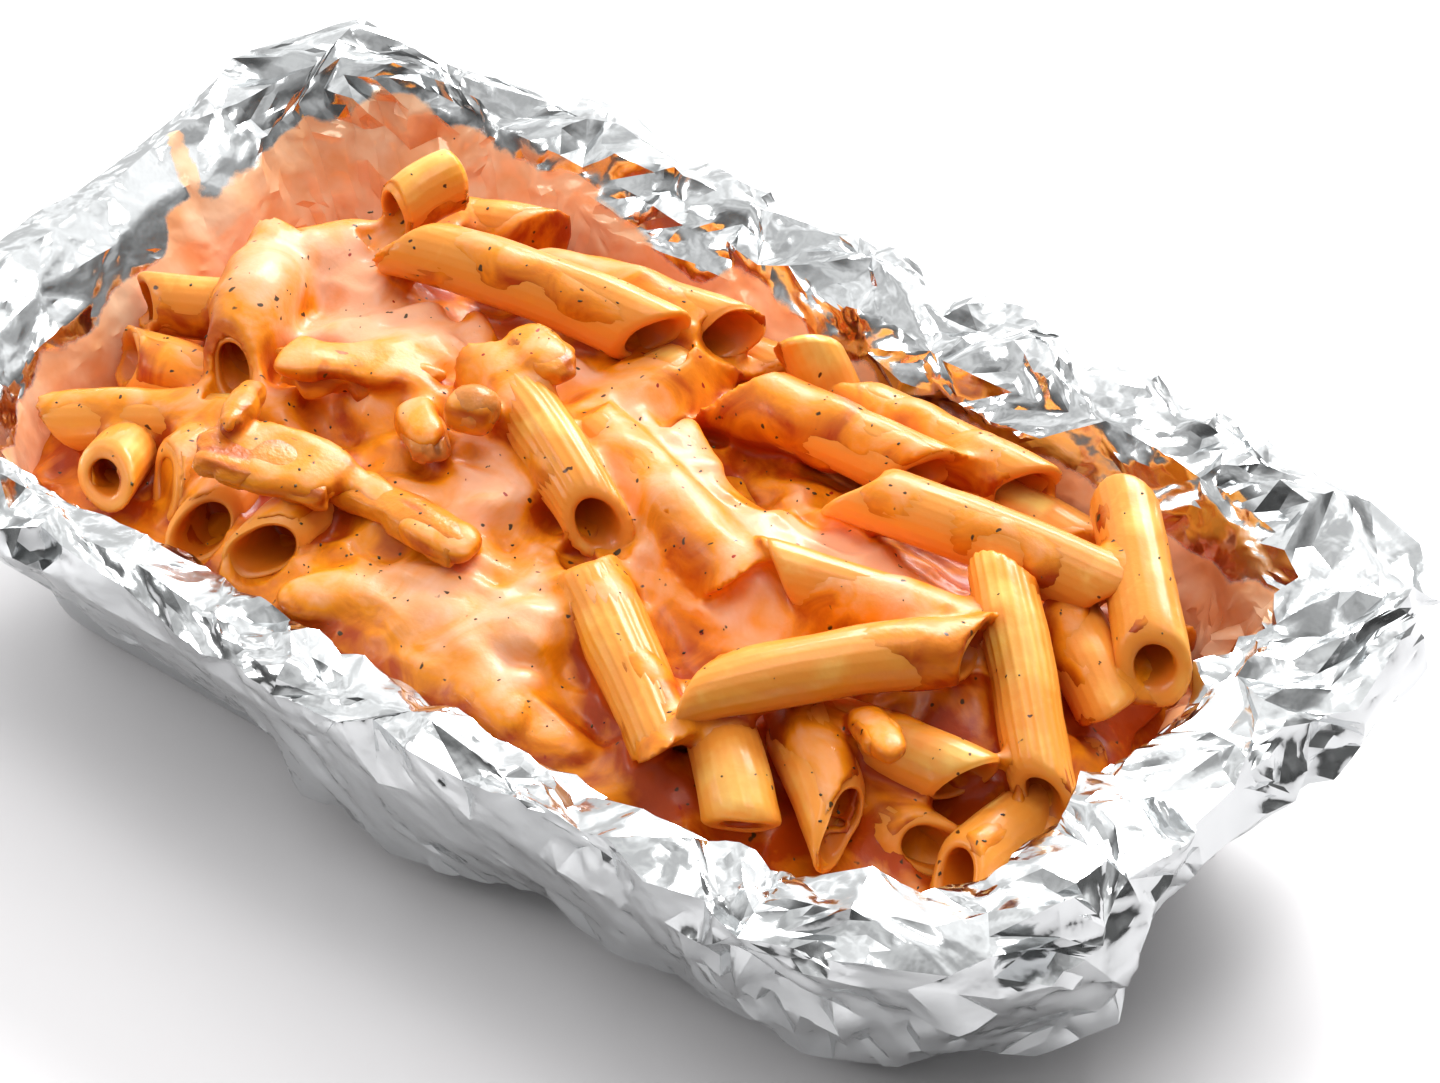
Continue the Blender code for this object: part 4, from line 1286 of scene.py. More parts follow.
@dataclass
class Penne:
    """One piece of penne: a ridged tube with slanting cuts, slightly bent and swollen by boiling.

    The coat says how far the sauce lies over it at its start, middle and end; below zero it is bare.
    """

    name: str
    start: Point
    end: Point
    facing: float
    open_ends: str = ""
    coat: Triple = (-0.5, -0.5, -0.5)
    bore: float = 2.7
    bend: float = 0.8
    bend_way: float = 0.0
    radius: float = 5.2
    cut: float = 40.0
    ridges: int = 22
    ridge_depth: float = 0.08
    wall_gap: float = 5.2
    bore_depth: float = 9.0
    bore_clear: float = 6.0
    stations: int = 18

    def axes(self) -> tuple[np.ndarray, np.ndarray, np.ndarray, np.ndarray, float]:
        """Returns the start, the directions along, up and sideways, and the length.

        Returns:
            Four vectors and a length in millimetres.
        """
        start, end = np.array(self.start, float), np.array(self.end, float)
        length = float(np.linalg.norm(end - start))
        along = (end - start) / length
        side = np.cross(along, (0.0, 0.0, 1.0))
        side /= np.linalg.norm(side)
        return start, along, np.cross(side, along), side, length

    def middle_line(self, t: np.ndarray) -> np.ndarray:
        """Returns how far the middle line bows off the straight line, at shares t of the length.

        Args:
            t: shares of the length, from 0 to 1.

        Returns:
            One vector for each share.
        """
        _, _, up, side, _ = self.axes()
        way = math.radians(self.bend_way)
        bow = self.bend * 4 * t * (1 - t)
        return bow[..., None] * (up * math.cos(way) + side * math.sin(way))

    def distance(self, points: np.ndarray) -> tuple[np.ndarray, np.ndarray]:
        """Returns the distance of points from the whole tube, and their share of its length.

        Args:
            points: places in millimetres.

        Returns:
            The distances, negative inside.
        """
        start, along, up, side, length = self.axes()
        rel = points - start
        t = rel @ along / length
        radial = rel - (t * length)[..., None] * along - self.middle_line(np.clip(t, 0, 1))
        reach = np.sqrt((radial ** 2).sum(-1)) - self.radius
        turn = math.radians(self.facing)
        face = up * math.cos(turn) + side * math.sin(turn)
        slope = along + math.tan(math.radians(self.cut)) * face
        slope /= np.linalg.norm(slope)
        past_end = (points - np.array(self.end)) @ slope
        past_start = -(rel @ slope)
        return np.maximum(reach, np.maximum(past_end, past_start)), t

    def coat_at(self, t: np.ndarray) -> np.ndarray:
        """Returns the sauce's thickness over the tube at shares of its length."""
        return np.interp(t, (0.08, 0.5, 0.92), self.coat)

    def bore_distance(self, points: np.ndarray, end: str) -> np.ndarray:
        """Returns the distance of points from the clear space in front of and inside an open end.

        Args:
            points: places in millimetres.
            end: a for the start, b for the other end.

        Returns:
            The distances, negative inside.
        """
        start, along, _, _, length = self.axes()
        rel = points - start
        t = rel @ along
        radial = rel - t[..., None] * along - self.middle_line(np.clip(t / length, 0, 1))
        reach = np.sqrt((radial ** 2).sum(-1)) - (self.bore + 0.3)
        if end == "b":
            return np.maximum(reach, np.maximum(length - self.bore_depth - t, t - length - self.bore_clear))
        return np.maximum(reach, np.maximum(t - self.bore_depth, -self.bore_clear - t))

    def held_inside(self, points: np.ndarray) -> np.ndarray:
        """Returns the points, moved towards the middle until they clear the foil on the wall.

        Args:
            points: places in millimetres.

        Returns:
            The points, moved.
        """
        limit = OUTLINE.food_limit(points[:, 2], self.wall_gap)
        for _ in range(4):
            over = np.maximum(OUTLINE.outside(points[:, 0], points[:, 1]) - limit, 0.0)
            points = points - OUTLINE.outward(points, 0.01) * over[:, None]
        return points

    def shape(self) -> tuple[np.ndarray, list[tuple[int, ...]], np.ndarray]:
        """Builds the tube, ridged outside and smooth in its bore.

        Returns:
            The points, the faces, and a value for each point that is 1 in the bore.
        """
        start, along, up, side, length = self.axes()
        turn = math.radians(self.facing)
        slant = math.tan(math.radians(self.cut))
        around = self.ridges * 3
        angle = np.arange(around) * math.tau / around
        out = np.cos(angle)[:, None] * up + np.sin(angle)[:, None] * side
        lean = -np.cos(angle - turn) * slant
        ridge = np.tile((1.0, 0.25, -1.0), self.ridges) * self.ridge_depth / 2
        wide = self.bore
        # Radius, how far the ring is drawn back from the cut, how much of the ridges shows, 1 inside the bore
        # (its painted shade)
        lip = (
            (wide, 5.0, 0.0, 1.0), (wide, 1.2, 0.0, 1.0), (wide + 0.15, 0.5, 0.0, 0.7),
            (wide + 0.5, 0.12, 0.0, 0.3), ((wide + self.radius) / 2, 0.0, 0.1, 0.05),
            (self.radius - 0.7, 0.12, 0.3, 0.0), (self.radius - 0.2, 0.5, 0.7, 0.0),
        )
        edges = {0: 1.1, self.stations: -1.1}
        plan = [(0.0, *ring) for ring in lip]
        for k in range(self.stations + 1):
            plan.append((k / self.stations, self.radius, edges.get(k, 0.0), 1.0, 0.0))
        plan += [(1.0, size, -back, show, inside) for size, back, show, inside in reversed(lip)]
        plan += [(t, wide, 0.0, 0.0, 1.0) for t in (0.75, 0.5, 0.25)]
        rings = []
        for t, size, back, show, _ in plan:
            spread = size + ridge * show
            spot = start + along * (t * length + back) + self.middle_line(np.array(t))
            rings.append(spot + out * spread[:, None] + along * (lean * spread)[:, None])
        verts = np.concatenate(rings)
        oval = 0.32 * np.cos(2 * angle + len(self.name))
        swell = noise_at(verts, 11.0, 31) * 0.42 + noise_at(verts, 4.5, 32) * 0.13 + np.tile(oval, len(rings))
        radial = np.concatenate([out] * len(rings))
        verts = verts + radial * swell[:, None] + along * (0.6 * noise_at(verts, 6.0, 33))[:, None]
        verts = self.held_inside(verts)
        faces = []
        count = len(rings)
        for row in range(count):
            low, high = row * around, (row + 1) % count * around
            for k in range(around):
                after = (k + 1) % around
                faces.append((low + k, low + after, high + after, high + k))
        return verts, faces, np.repeat([inside for *_, inside in plan], around)


# How far the sauce lies over a tube's start, middle and end
BARE = (-0.6, -0.6, -0.6)
FILMED = (-0.2, -0.35, -0.3)
SAUCED = (0.7, 0.8, 0.7)

# Name, start, end, which way its cuts face, its open ends, its coat of sauce
PENNE = (
    Penne("top_left_stub", (-61.5, 34, 55), (-65, 22, 52.5), 20, "b", BARE, bore=3.6, cut=10),
    Penne("top_left_sunk", (-64, 27, 41), (-77, 8, 44), 0, "", (0.8, 1.5, 1.5)),
    Penne("left_leaning", (-76, 5, 44), (-63.5, -18, 44.5), 40, "b", (2.2, 2.0, 0.5), bore=3.5, bend=2.8),
    Penne("left_far_open", (-70, 3, 39), (-93, -9, 40), 290, "b", FILMED, bore=3.5, cut=38),
    Penne("left_split", (-66, -14.5, 35.5), (-88, -18, 36), 300, "b", FILMED, bore=3.3, cut=48),
    Penne("left_long", (-48, -16, 40), (-85, -35, 35), 180, "", (0.6, 0.2, -0.4)),
    Penne("left_ring", (-76, -26, 31), (-66, -45, 39), 70, "b", BARE, bore=2.6),
    Penne("left_filled", (-60, -22, 36), (-58, -40, 39), 60, "", FILMED),
    Penne("near_ring_back", (-53, -21, 33), (-46, -44, 38), 330, "b", FILMED, bore=3.6),
    Penne("near_ring_front", (-38, -18, 36), (-33, -44, 41), 300, "b", BARE, bore=3.8),
    Penne("top_long", (-57, 18, 52), (-15, 28, 48), 110, "b", (-0.2, -0.2, -0.5), bore=3.2, bend=1.6),
    Penne("far_ring", (-44, 33, 43), (-9, 40, 44), 80, "b", (0.6, 0.5, -0.3), bore=3.8),
    Penne("far_short", (-24, 44, 33), (-1, 46, 34), 90, "", FILMED),
    Penne("far_upright", (3.5, 44, 45), (13, 43, 30), 60, "", BARE),
    Penne("far_open", (12, 43, 38), (47, 43, 38.5), 112, "b", (0.3, 0.1, -0.4), bore=3.2),
    Penne("far_behind", (24, 45, 31), (60, 43, 32), 90, "", FILMED),
    Penne("middle_far_open", (4, 29, 43), (35, 33, 42), 110, "b", (0.8, 0.3, -0.3), bore=3.0),
    Penne("middle_far_long", (32, 19, 46), (74, 29, 41), 148, "b", (-0.2, -0.3, -0.4), bore=3.2, bend=1.6,
          bend_way=20),
    Penne("corner_leaning", (65, 44, 43), (88, 19, 40), 30, "b", BARE),
    Penne("corner_low", (62, 33, 25), (78, 38, 25), 90, "", FILMED),
    Penne("right_long", (42, -32, 45), (67, 3, 43.5), 92, "b", (-0.4, -0.3, 0.0), bore=3.5, bend=1.8, cut=45),
    Penne("right_ridged", (61, 18, 43), (88, -8, 33), 60, "b", BARE, ridge_depth=0.3),
    Penne("right_low", (64, 27, 36), (84, 14, 33), 200, "b", FILMED, bore=3.4),
    Penne("middle_wedge", (66, 11, 37), (36, -5, 46), 230, "", (1.0, 0.8, -0.3)),
    Penne("middle_bright", (-25, 3, 48), (7, -12, 46), 40, "b", (1.0, -0.2, -0.4), bore=3.2, bend=1.4,
          ridge_depth=0.3),
    Penne("middle_long", (-12, 7, 45.5), (27, -6, 43.5), 200, "", (0.1, 0.7, 1.0)),
    Penne("near_ridged", (9, -18, 43), (42, -39, 40), 200, "a", (0.4, -0.4, 0.4), ridge_depth=0.3),
    Penne("near_elbow", (35, -22, 36), (58, -41, 35), 160, "b", BARE, bend=3.0),
    Penne("near_curl", (46, -15, 33.5), (68, -31, 33), 285, "b", FILMED, bore=3.8, bend=2.4, cut=50),
    Penne("right_scoop", (48, -16, 34), (77, -12, 34), 130, "b", BARE, bore=3.8),
    Penne("corner_open", (46, -19, 25), (78, -21, 27), 50, "b", FILMED, bore=3.4),
    Penne("corner_near", (84, 8, 24), (85, -26, 29), 30, "b", BARE, bore=3.2),
    Penne("left_deep", (-70, -30, 27), (-88, -28, 28), 90, "", FILMED),
    Penne("far_left_sunk", (-72, 34, 40), (-52, 43, 41), 80, "", (0.4, 0.5, 0.5)),
    Penne("middle_crossing", (-13, 10, 40), (-11, 36, 41), 0, "", SAUCED),
)


@dataclass
class Chunk:
    """One chunk of pulled chicken or mushroom, laid where the CAD model's chunk lies."""

    name: str
    size: Triple
    turn: float
    tilt: float
    kind: Bite = Bite.CHICKEN
    curl: float = 0.0
    detail: int = 5
    grain_mm: float = 1.5
    squareness: float = 0.45
    groove_depth: float = 0.10
    shift: Point = (0.0, 0.0, 0.0)
    centre: np.ndarray = field(default_factory=lambda: np.zeros(3))

    def settle(self) -> None:
        """Finds where the CAD chunk lies."""
        low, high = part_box(self.name)
        self.centre = np.array((low + high) / 2) / MM + np.array(self.shift)

    def spin(self) -> np.ndarray:
        """Returns the matrix that turns the chunk's own axes to the object's."""
        level = Matrix.Rotation(math.radians(self.turn), 3, "Z")
        return np.array(level @ Matrix.Rotation(math.radians(self.tilt), 3, "Y"))

    def distance(self, points: np.ndarray) -> np.ndarray:
        """Returns roughly how far points are from the chunk.

        Args:
            points: places in millimetres.

        Returns:
            The distances, negative inside.
        """
        local = (points - self.centre) @ self.spin()
        half = np.array(self.size) / 2
        scaled = np.abs(local / half)
        length = (scaled ** 3).sum(-1) ** (1 / 3)
        return (length - 1.0) * half.min() * 1.1

    def shape(self) -> tuple[np.ndarray, list[tuple[int, ...]], np.ndarray]:
        """Builds the torn chunk.

        Returns:
            The points, the faces, and how deep in a groove each point is, which the material paints as shade.
        """
        bm = bmesh.new()
        bmesh.ops.create_icosphere(bm, subdivisions=self.detail, radius=1.0)
        way = np.array([v.co for v in bm.verts])
        faces = [tuple(v.index for v in f.verts) for f in bm.faces]
        bm.free()
        square = way / np.abs(way).max(axis=1, keepdims=True)
        form = blend(way, square, self.squareness)
        half = np.array(self.size) / 2 * 1.08
        body = form * half
        seed = len(self.name) + int(self.size[0])
        lumps = noise_at(body * (1, 1, 0.4), 6.0, seed) * 0.22
        torn = (noise_at(body * (1, 1, 0.5), 2.6, seed + 1) + 0.5 * noise_at(body, 1.3, seed + 4)) * 0.13
        rim = soft_step(np.hypot(way[:, 0], way[:, 1]), 0.5, 0.95)
        body = body * (1 + (lumps + torn * rim)[:, None] * (1.0, 1.2, 0.6))
        fibres = noise_at(body * (0.22, 1.0, 1.0), self.grain_mm, seed + 2)
        groove = np.clip(-fibres, 0, 1)
        body = body - way * (groove * self.groove_depth)[:, None]
        body[:, 2] -= self.curl * (body[:, 1] / half[1]) ** 2 * half[2]
        body[:, 2] += 0.6 * noise_at(body[:, :2], 9.0, seed + 3)
        return body @ self.spin().T + self.centre, faces, groove * 1.3


# Name, length, width and height, turn about the upright and tilt in degrees
CHUNKS = (
    Chunk("chicken_slab", (21, 12.5, 3.8), 25, 9, squareness=0.5, groove_depth=0.2, shift=(1.0, -0.5, 0.2)),
    Chunk("chicken_strip", (25, 7, 3.6), -6, -4, curl=0.4, groove_depth=0.2, shift=(0.0, 0.0, 0.2)),
    Chunk("chicken_curl", (24, 9, 3.4), 35, 6, curl=1.6, squareness=0.3, shift=(0.0, 0.0, 1.4)),
    Chunk("chicken_upright", (15, 4.2, 4.2), 118, 14, squareness=0.15, shift=(3.6, -4.4, -1.6)),
    Chunk("chicken_torn", (13, 8, 4), -20, 0, squareness=0.2, shift=(0.0, 0.0, -0.5)),
    Chunk("chicken_near", (14, 5.5, 3.6), -30, -10, squareness=0.2),
    Chunk("mushroom_round", (7.8, 7.4, 6.4), 20, 0, Bite.MUSHROOM, detail=4, squareness=0.0),
    Chunk("mushroom_dark", (11, 6.2, 4.4), -35, 0, Bite.MUSHROOM, grain_mm=1.1, squareness=0.2,
          groove_depth=0.4, shift=(0.0, 0.0, 0.9)),
)


@dataclass
class SauceBlanket:
    """The creamy sauce: one wet surface that fills the heap and drapes over the pasta and chunks."""

    voxel: float = 0.7
    low: Point = (-96.0, -54.0, 20.0)
    high: Point = (96.0, 54.0, 64.0)
    centre: tuple[float, float] = (-4.0, -10.0)
    reach: tuple[float, float] = (70.0, 36.0)
    rise: float = 3.0
    ebb: float = -1.6
    lap: float = 3.0
    kept_faces: float = 0.54
    slope: float = 0.85
    wall_gap: float = 3.2
    bottom_lift: float = 1.0
    ripple_mm: float = 6.5
    tube_ripple: float = 0.75
    chunk_ripple: float = 0.7
    chunk_film: float = 0.05
    chunk_lap: float = 1.4
    lump_lap: float = 1.8
    lump_count: int = 90
    lump_area: Span = (-75, 75, -44, 40)
    lump_cream: float = 0.45
    fold_height: float = 1.7
    edge_band: float = 3.0
    seed: int = 11

    # Waves of the surface: height and wavelength
    waves: tuple[Pair, ...] = ((1.7, 11.0), (0.45, 5.0))
    away: np.ndarray = field(default_factory=lambda: np.zeros(0))
    pasta: np.ndarray = field(default_factory=lambda: np.zeros(0))

    # Shreds of chicken just under the surface: x, y, how far they stand above the sauce, sizes, turn
    shreds: tuple[tuple[float, ...], ...] = (
        (-58, -1, 1.2, 7, 2.6, 2.4, 60), (-53, 3, 1.5, 5, 2.2, 2.2, 100), (-50, 9, 1.6, 6, 2.4, 2.2, 70),
        (-44, 2, 1.0, 7, 3.0, 2.0, 20), (-23, 16, 2.2, 6, 3.4, 2.6, -10), (-6, 26, 1.2, 5, 3.0, 2.2, 30),
        (-8, 21, 1.5, 12, 4.4, 3.0, 85), (16, 19, 1.5, 8, 3.4, 3.0, -20), (-18, -44, 1.5, 9, 5.0, 3.2, 40),
        (-3, -38, 1.4, 7, 4.0, 2.8, 10), (14, -45, 1.6, 9, 4.6, 3.0, -25), (25, -45, 1.4, 7, 4.0, 2.6, 10),
        (-33, -43, 1.2, 7, 3.6, 2.8, 70), (4, -24, 1.0, 8, 3.2, 2.6, -50), (-8, -34, 1.2, 6, 3.0, 2.4, 30),
        (57, 8, 1.0, 6, 3.6, 2.6, 10), (47, 32, 1.4, 6, 3.2, 2.6, 40), (30, 4, 0.8, 9, 3.0, 2.4, -15),
        (-38, -3, 0.8, 9, 2.6, 2.0, -30), (20, -12, 0.8, 8, 3.4, 2.4, 15), (-62, 14, 1.0, 6, 3.0, 2.4, 30),
        (40, -12, 0.8, 7, 3.0, 2.4, 60), (-40, 14, 1.0, 6, 2.6, 2.2, -40), (3, 13, 0.9, 7, 3.0, 2.2, -60),
    )

    # Hollows where the sauce has run off: x, y, reach in x and y, depth
    hollows: tuple[tuple[float, ...], ...] = (
        (-45, -16, 8, 3.2, 6.5), (12, 17, 6, 3.6, 6.0), (-26, -16, 5, 3, 1.8), (-29, -33, 6, 3, 2.2),
        (-10, -31, 7, 3, 1.8), (6, -28, 5, 6, 2.0), (-2, -13, 4, 8, 2.0), (24, 15, 8, 3, 1.6),
        (-20, 8, 7, 3, 1.6), (38, -30, 6, 3, 3.0), (20, -28, 4, 8, 2.2), (-12, 16, 5, 4, 1.8),
        (58, -6, 5, 8, 2.6), (-36, 18, 10, 3, 1.6), (34, -8, 9, 7, -4.5), (0, 2, 4, 4, 1.4),
        (58, 12, 14, 8, -4.0), (80, 4, 8, 8, -3.5), (-14, -44, 8, 4, -1.2), (70, -14, 5, 5, 2.0),
    )

    # Extra pools of cream: x, y, reach in x and y, and how much they add; below zero they take away
    pools: tuple[tuple[float, ...], ...] = (
        (-54, 8, 15, 12, 0.75), (45, 8, 22, 12, 0.5), (24, 9, 18, 12, 0.2), (5, -34, 26, 10, 0.15),
        (-30, -38, 18, 6, -0.25), (62, -2, 10, 8, 0.3), (60, -30, 26, 16, -1.0), (-74, -22, 16, 18, -0.7),
        (30, 40, 40, 9, -0.4), (78, 10, 14, 40, -0.7), (-34, 0, 9, 5, -0.55), (-8, -30, 14, 7, 0.35),
        (-14, -2, 8, 5, 0.25), (-42, -25, 10, 8, -0.5), (-18, -30, 12, 8, -0.45), (15, -46, 14, 5, 0.5),
        (-70, -2, 8, 14, 1.6), (-66, 20, 10, 10, 0.6), (-78, 40, 26, 9, 0.55), (-88, 14, 6, 26, 0.6),
    )

    def cream_at(self, x: np.ndarray, y: np.ndarray) -> np.ndarray:
        """Returns how much cream lies at places, from 0 for none to 1 for a thick blanket.

        Args:
            x: places along, in millimetres.
            y: places across.

        Returns:
            Shares from 0 to 1.
        """
        far = np.hypot((x - self.centre[0]) / self.reach[0], (y - self.centre[1]) / self.reach[1])
        amount = 0.70 - 0.62 * far ** 2
        for px, py, rx, ry, add in self.pools:
            amount = amount + add * np.exp(-(((x - px) / rx) ** 2 + ((y - py) / ry) ** 2))
        place = np.stack([x, y], -1)
        amount = amount + 0.22 * noise_at(place, 13.0, self.seed) + 0.10 * noise_at(place, 5.0, self.seed + 1)
        return np.clip(amount, 0.0, 1.0)

    def level_at(self, x: np.ndarray, y: np.ndarray) -> np.ndarray:
        """Returns the height of the sauce's own surface, before it laps against the pasta.

        Args:
            x: places along, in millimetres.
            y: places across.

        Returns:
            The heights in millimetres.
        """
        cream = self.cream_at(x, y)
        place = np.stack([x, y], -1)
        waves = 0.0
        for k, (tall, long) in enumerate(self.waves):
            waves = waves + tall * noise_at(place, long, self.seed + 2 + k)
        folds = self.fold_height * (0.40 - np.abs(noise_at(place * (1.0, 1.6), 9.0, self.seed + 6)))
        level = HEAP.height(x, y) + blend(self.ebb, self.rise, cream) + waves + folds
        for px, py, rx, ry, deep in self.hollows:
            level = level - deep * np.exp(-(((x - px) / rx) ** 2 + ((y - py) / ry) ** 2))
        return level

    def lumps(self) -> list[tuple[np.ndarray, np.ndarray]]:
        """Returns the centres, turns and sizes of the shreds under the sauce, the tabled ones first.

        Returns:
            One pair for each shred.
        """
        rng = np.random.default_rng(self.seed)
        found = []
        for x, y, stand, long, wide, tall, turn in self.shreds:
            z = float(self.level_at(np.array(x), np.array(y))) + stand - tall
            found.append((np.array([x, y, z, math.radians(turn)]), np.array([long, wide, tall])))
        left, right, near, far = self.lump_area
        while len(found) < self.lump_count:
            x, y = rng.uniform(left, right), rng.uniform(near, far)
            if self.cream_at(np.array(x), np.array(y)) > self.lump_cream:
                z = float(self.level_at(np.array(x), np.array(y))) - rng.uniform(0.4, 2.0)
                size = np.array([rng.uniform(1.6, 5.0), rng.uniform(1.2, 2.4), rng.uniform(1.2, 2.4)])
                found.append((np.array([x, y, z, rng.uniform(0, math.pi)]), size))
        return found

    def window(self, points: np.ndarray, low: np.ndarray, high: np.ndarray) -> tuple[slice, slice, slice]:
        """Returns the slices of the grid between two corners.

        Args:
            points: the grid's points.
            low: the lower corner.
            high: the upper corner.

        Returns:
            One slice for each axis.
        """
        first = np.floor((low - np.array(self.low)) / self.voxel).astype(int)
        last = np.ceil((high - np.array(self.low)) / self.voxel).astype(int) + 1
        return tuple(slice(max(a, 0), max(min(b, n), 0)) for a, b, n in zip(first, last, points.shape[:3]))

    def fill(self) -> None:
        """Works out the sauce's distance field on the grid."""
        axes = [np.arange(a, b, self.voxel) for a, b in zip(self.low, self.high)]
        x, y, z = np.meshgrid(*axes, indexing="ij")
        points = np.stack([x, y, z], -1)
        level = self.level_at(x[:, :, 0], y[:, :, 0])
        sauce = (z - level[:, :, None]) * self.slope
        pasta = np.full(sauce.shape, 20.0)
        ripple = noise_at(points, self.ripple_mm, self.seed + 4)
        for place, size in self.lumps():
            near = self.window(points, place[:3] - 15, place[:3] + 15)
            x_way, y_way, up = np.moveaxis(points[near] - place[:3], -1, 0)
            c, s = math.cos(place[3]), math.sin(place[3])
            turned = np.stack([x_way * c + y_way * s, y_way * c - x_way * s, up], -1)
            bump = (np.sqrt(((turned / size) ** 2).sum(-1)) - 1) * size.min()
            sauce[near] = soft_min(sauce[near], bump, self.lump_lap)
        for piece in PENNE:
            corners = np.array([piece.start, piece.end])
            near = self.window(points, corners.min(0) - 14, corners.max(0) + 14)
            here = points[near]
            away, t = piece.distance(here)
            coat = piece.coat_at(t) + self.tube_ripple * ripple[near]
            sauce[near] = soft_min(sauce[near], away - coat, self.lap)
            pasta[near] = np.minimum(pasta[near], away)
        for chunk in CHUNKS:
            near = self.window(points, chunk.centre - 18, chunk.centre + 18)
            away = chunk.distance(points[near])
            film = self.chunk_film + self.chunk_ripple * ripple[near]
            sauce[near] = soft_min(sauce[near], away - film, self.chunk_lap)
            pasta[near] = np.minimum(pasta[near], away)
        for piece in PENNE:
            for end in piece.open_ends:
                spot = np.array(piece.start if end == "a" else piece.end)
                near = self.window(points, spot - 12, spot + 12)
                sauce[near] = np.maximum(sauce[near], -piece.bore_distance(points[near], end))
        sauce = np.maximum(sauce, OUTLINE.outside(x, y) - OUTLINE.food_limit(z, self.wall_gap))
        sauce = np.maximum(sauce, self.low[2] + self.bottom_lift - z)
        self.away = sauce.astype(np.float32)
        self.pasta = pasta.astype(np.float32)

    def relief(self, verts: np.ndarray) -> np.ndarray:
        """Returns how far points stand above the sauce's height round them, in millimetres.

        Args:
            verts: the points.

        Returns:
            The heights in millimetres.
        """
        inside = self.away < 0
        tops = inside.shape[2] - 1 - np.argmax(inside[:, :, ::-1], axis=2)
        heights = np.where(inside.any(axis=2), self.low[2] + tops * self.voxel, self.low[2])
        half = 6
        for _ in range(2):
            for axis in (0, 1):
                pad = [(half, half) if axis == k else (0, 0) for k in (0, 1)]
                padded = np.pad(heights, pad, mode="edge")
                cells = np.arange(heights.shape[axis])
                heights = sum(np.take(padded, cells + k, axis=axis) for k in range(2 * half + 1))
                heights = heights / (2 * half + 1)
        cell_x = np.clip(((verts[:, 0] - self.low[0]) / self.voxel).astype(int), 0, heights.shape[0] - 1)
        cell_y = np.clip(((verts[:, 1] - self.low[1]) / self.voxel).astype(int), 0, heights.shape[1] - 1)
        return verts[:, 2] - heights[cell_x, cell_y]

    def sample(self, grid: np.ndarray, places: np.ndarray) -> np.ndarray:
        """Reads a grid between its points.

        Args:
            grid: the values.
            places: points in millimetres.

        Returns:
            One value for each place.
        """
        spot = (places - np.array(self.low)) / self.voxel
        spot = np.clip(spot, 0, np.array(grid.shape) - 1.001)
        cell = spot.astype(int)
        part = spot - cell
        total = np.zeros(len(places))
        for corner in itertools.product((0, 1), repeat=3):
            weight = np.ones(len(places))
            for axis, step in enumerate(corner):
                weight = weight * (part[:, axis] if step else 1 - part[:, axis])
            total += weight * grid[cell[:, 0] + corner[0], cell[:, 1] + corner[1], cell[:, 2] + corner[2]]
        return total

    def thinned(self, item: bpy.types.Object) -> np.ndarray:
        """Joins the faces that the flat underside and the smooth parts of the sauce don't need.

        Args:
            item: the sauce as it was meshed, with faces of one size.

        Returns:
            The points that are left, in millimetres.
        """
        item.modifiers.new("fewer faces", "DECIMATE").ratio = self.kept_faces
        apply_modifiers(item)
        places = np.zeros(3 * len(item.data.vertices), np.float32)
        item.data.vertices.foreach_get("co", places)
        return places.reshape(-1, 3).astype(float) / MM

    def build(self, finish: bpy.types.Material) -> bpy.types.Object:
        """Meshes the sauce and stands it for the CAD sauce.

        Args:
            finish: the sauce's material.

        Returns:
            The piece.
        """
        grid = openvdb.FloatGrid(background=self.edge_band)
        grid.copyFromArray(np.clip(self.away, -self.edge_band, self.edge_band))
        points, quads = grid.convertToQuads(isovalue=0.0)
        item = make_piece("creamy_sauce", points * self.voxel + np.array(self.low), quads.astype(int), finish)
        verts = self.thinned(item)
        x, y = verts[:, 0], verts[:, 1]
        depth = self.sample(self.pasta, verts)
        cream = self.cream_at(x, y)
        thick = soft_step(depth, 0.2, 2.4)
        above = soft_step(verts[:, 2] - HEAP.height(x, y), -1.5, 2.5)
        stand = self.relief(verts) / 2.0
        raised = np.clip(stand - 0.15, 0.0, 1.0)
        hollow_shade = np.clip(-stand - 0.35, 0.0, 1.0)
        pool = cream * blend(0.25, 1.0, thick) * blend(0.4, 1.0, above) * (1 - 0.45 * raised)
        # Hollows and sauce lying low between the pasta are painted towards the deep colour: painted shade
        tone = 0.34 + 0.06 * thick + 0.50 * pool - 0.20 * hollow_shade - 0.20 * (1 - above)
        set_values(item, "cream", tone)
        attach(item, "root")
        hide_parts("sauce")
        LOG.info("sauce: %d faces", len(item.data.polygons))
        return item


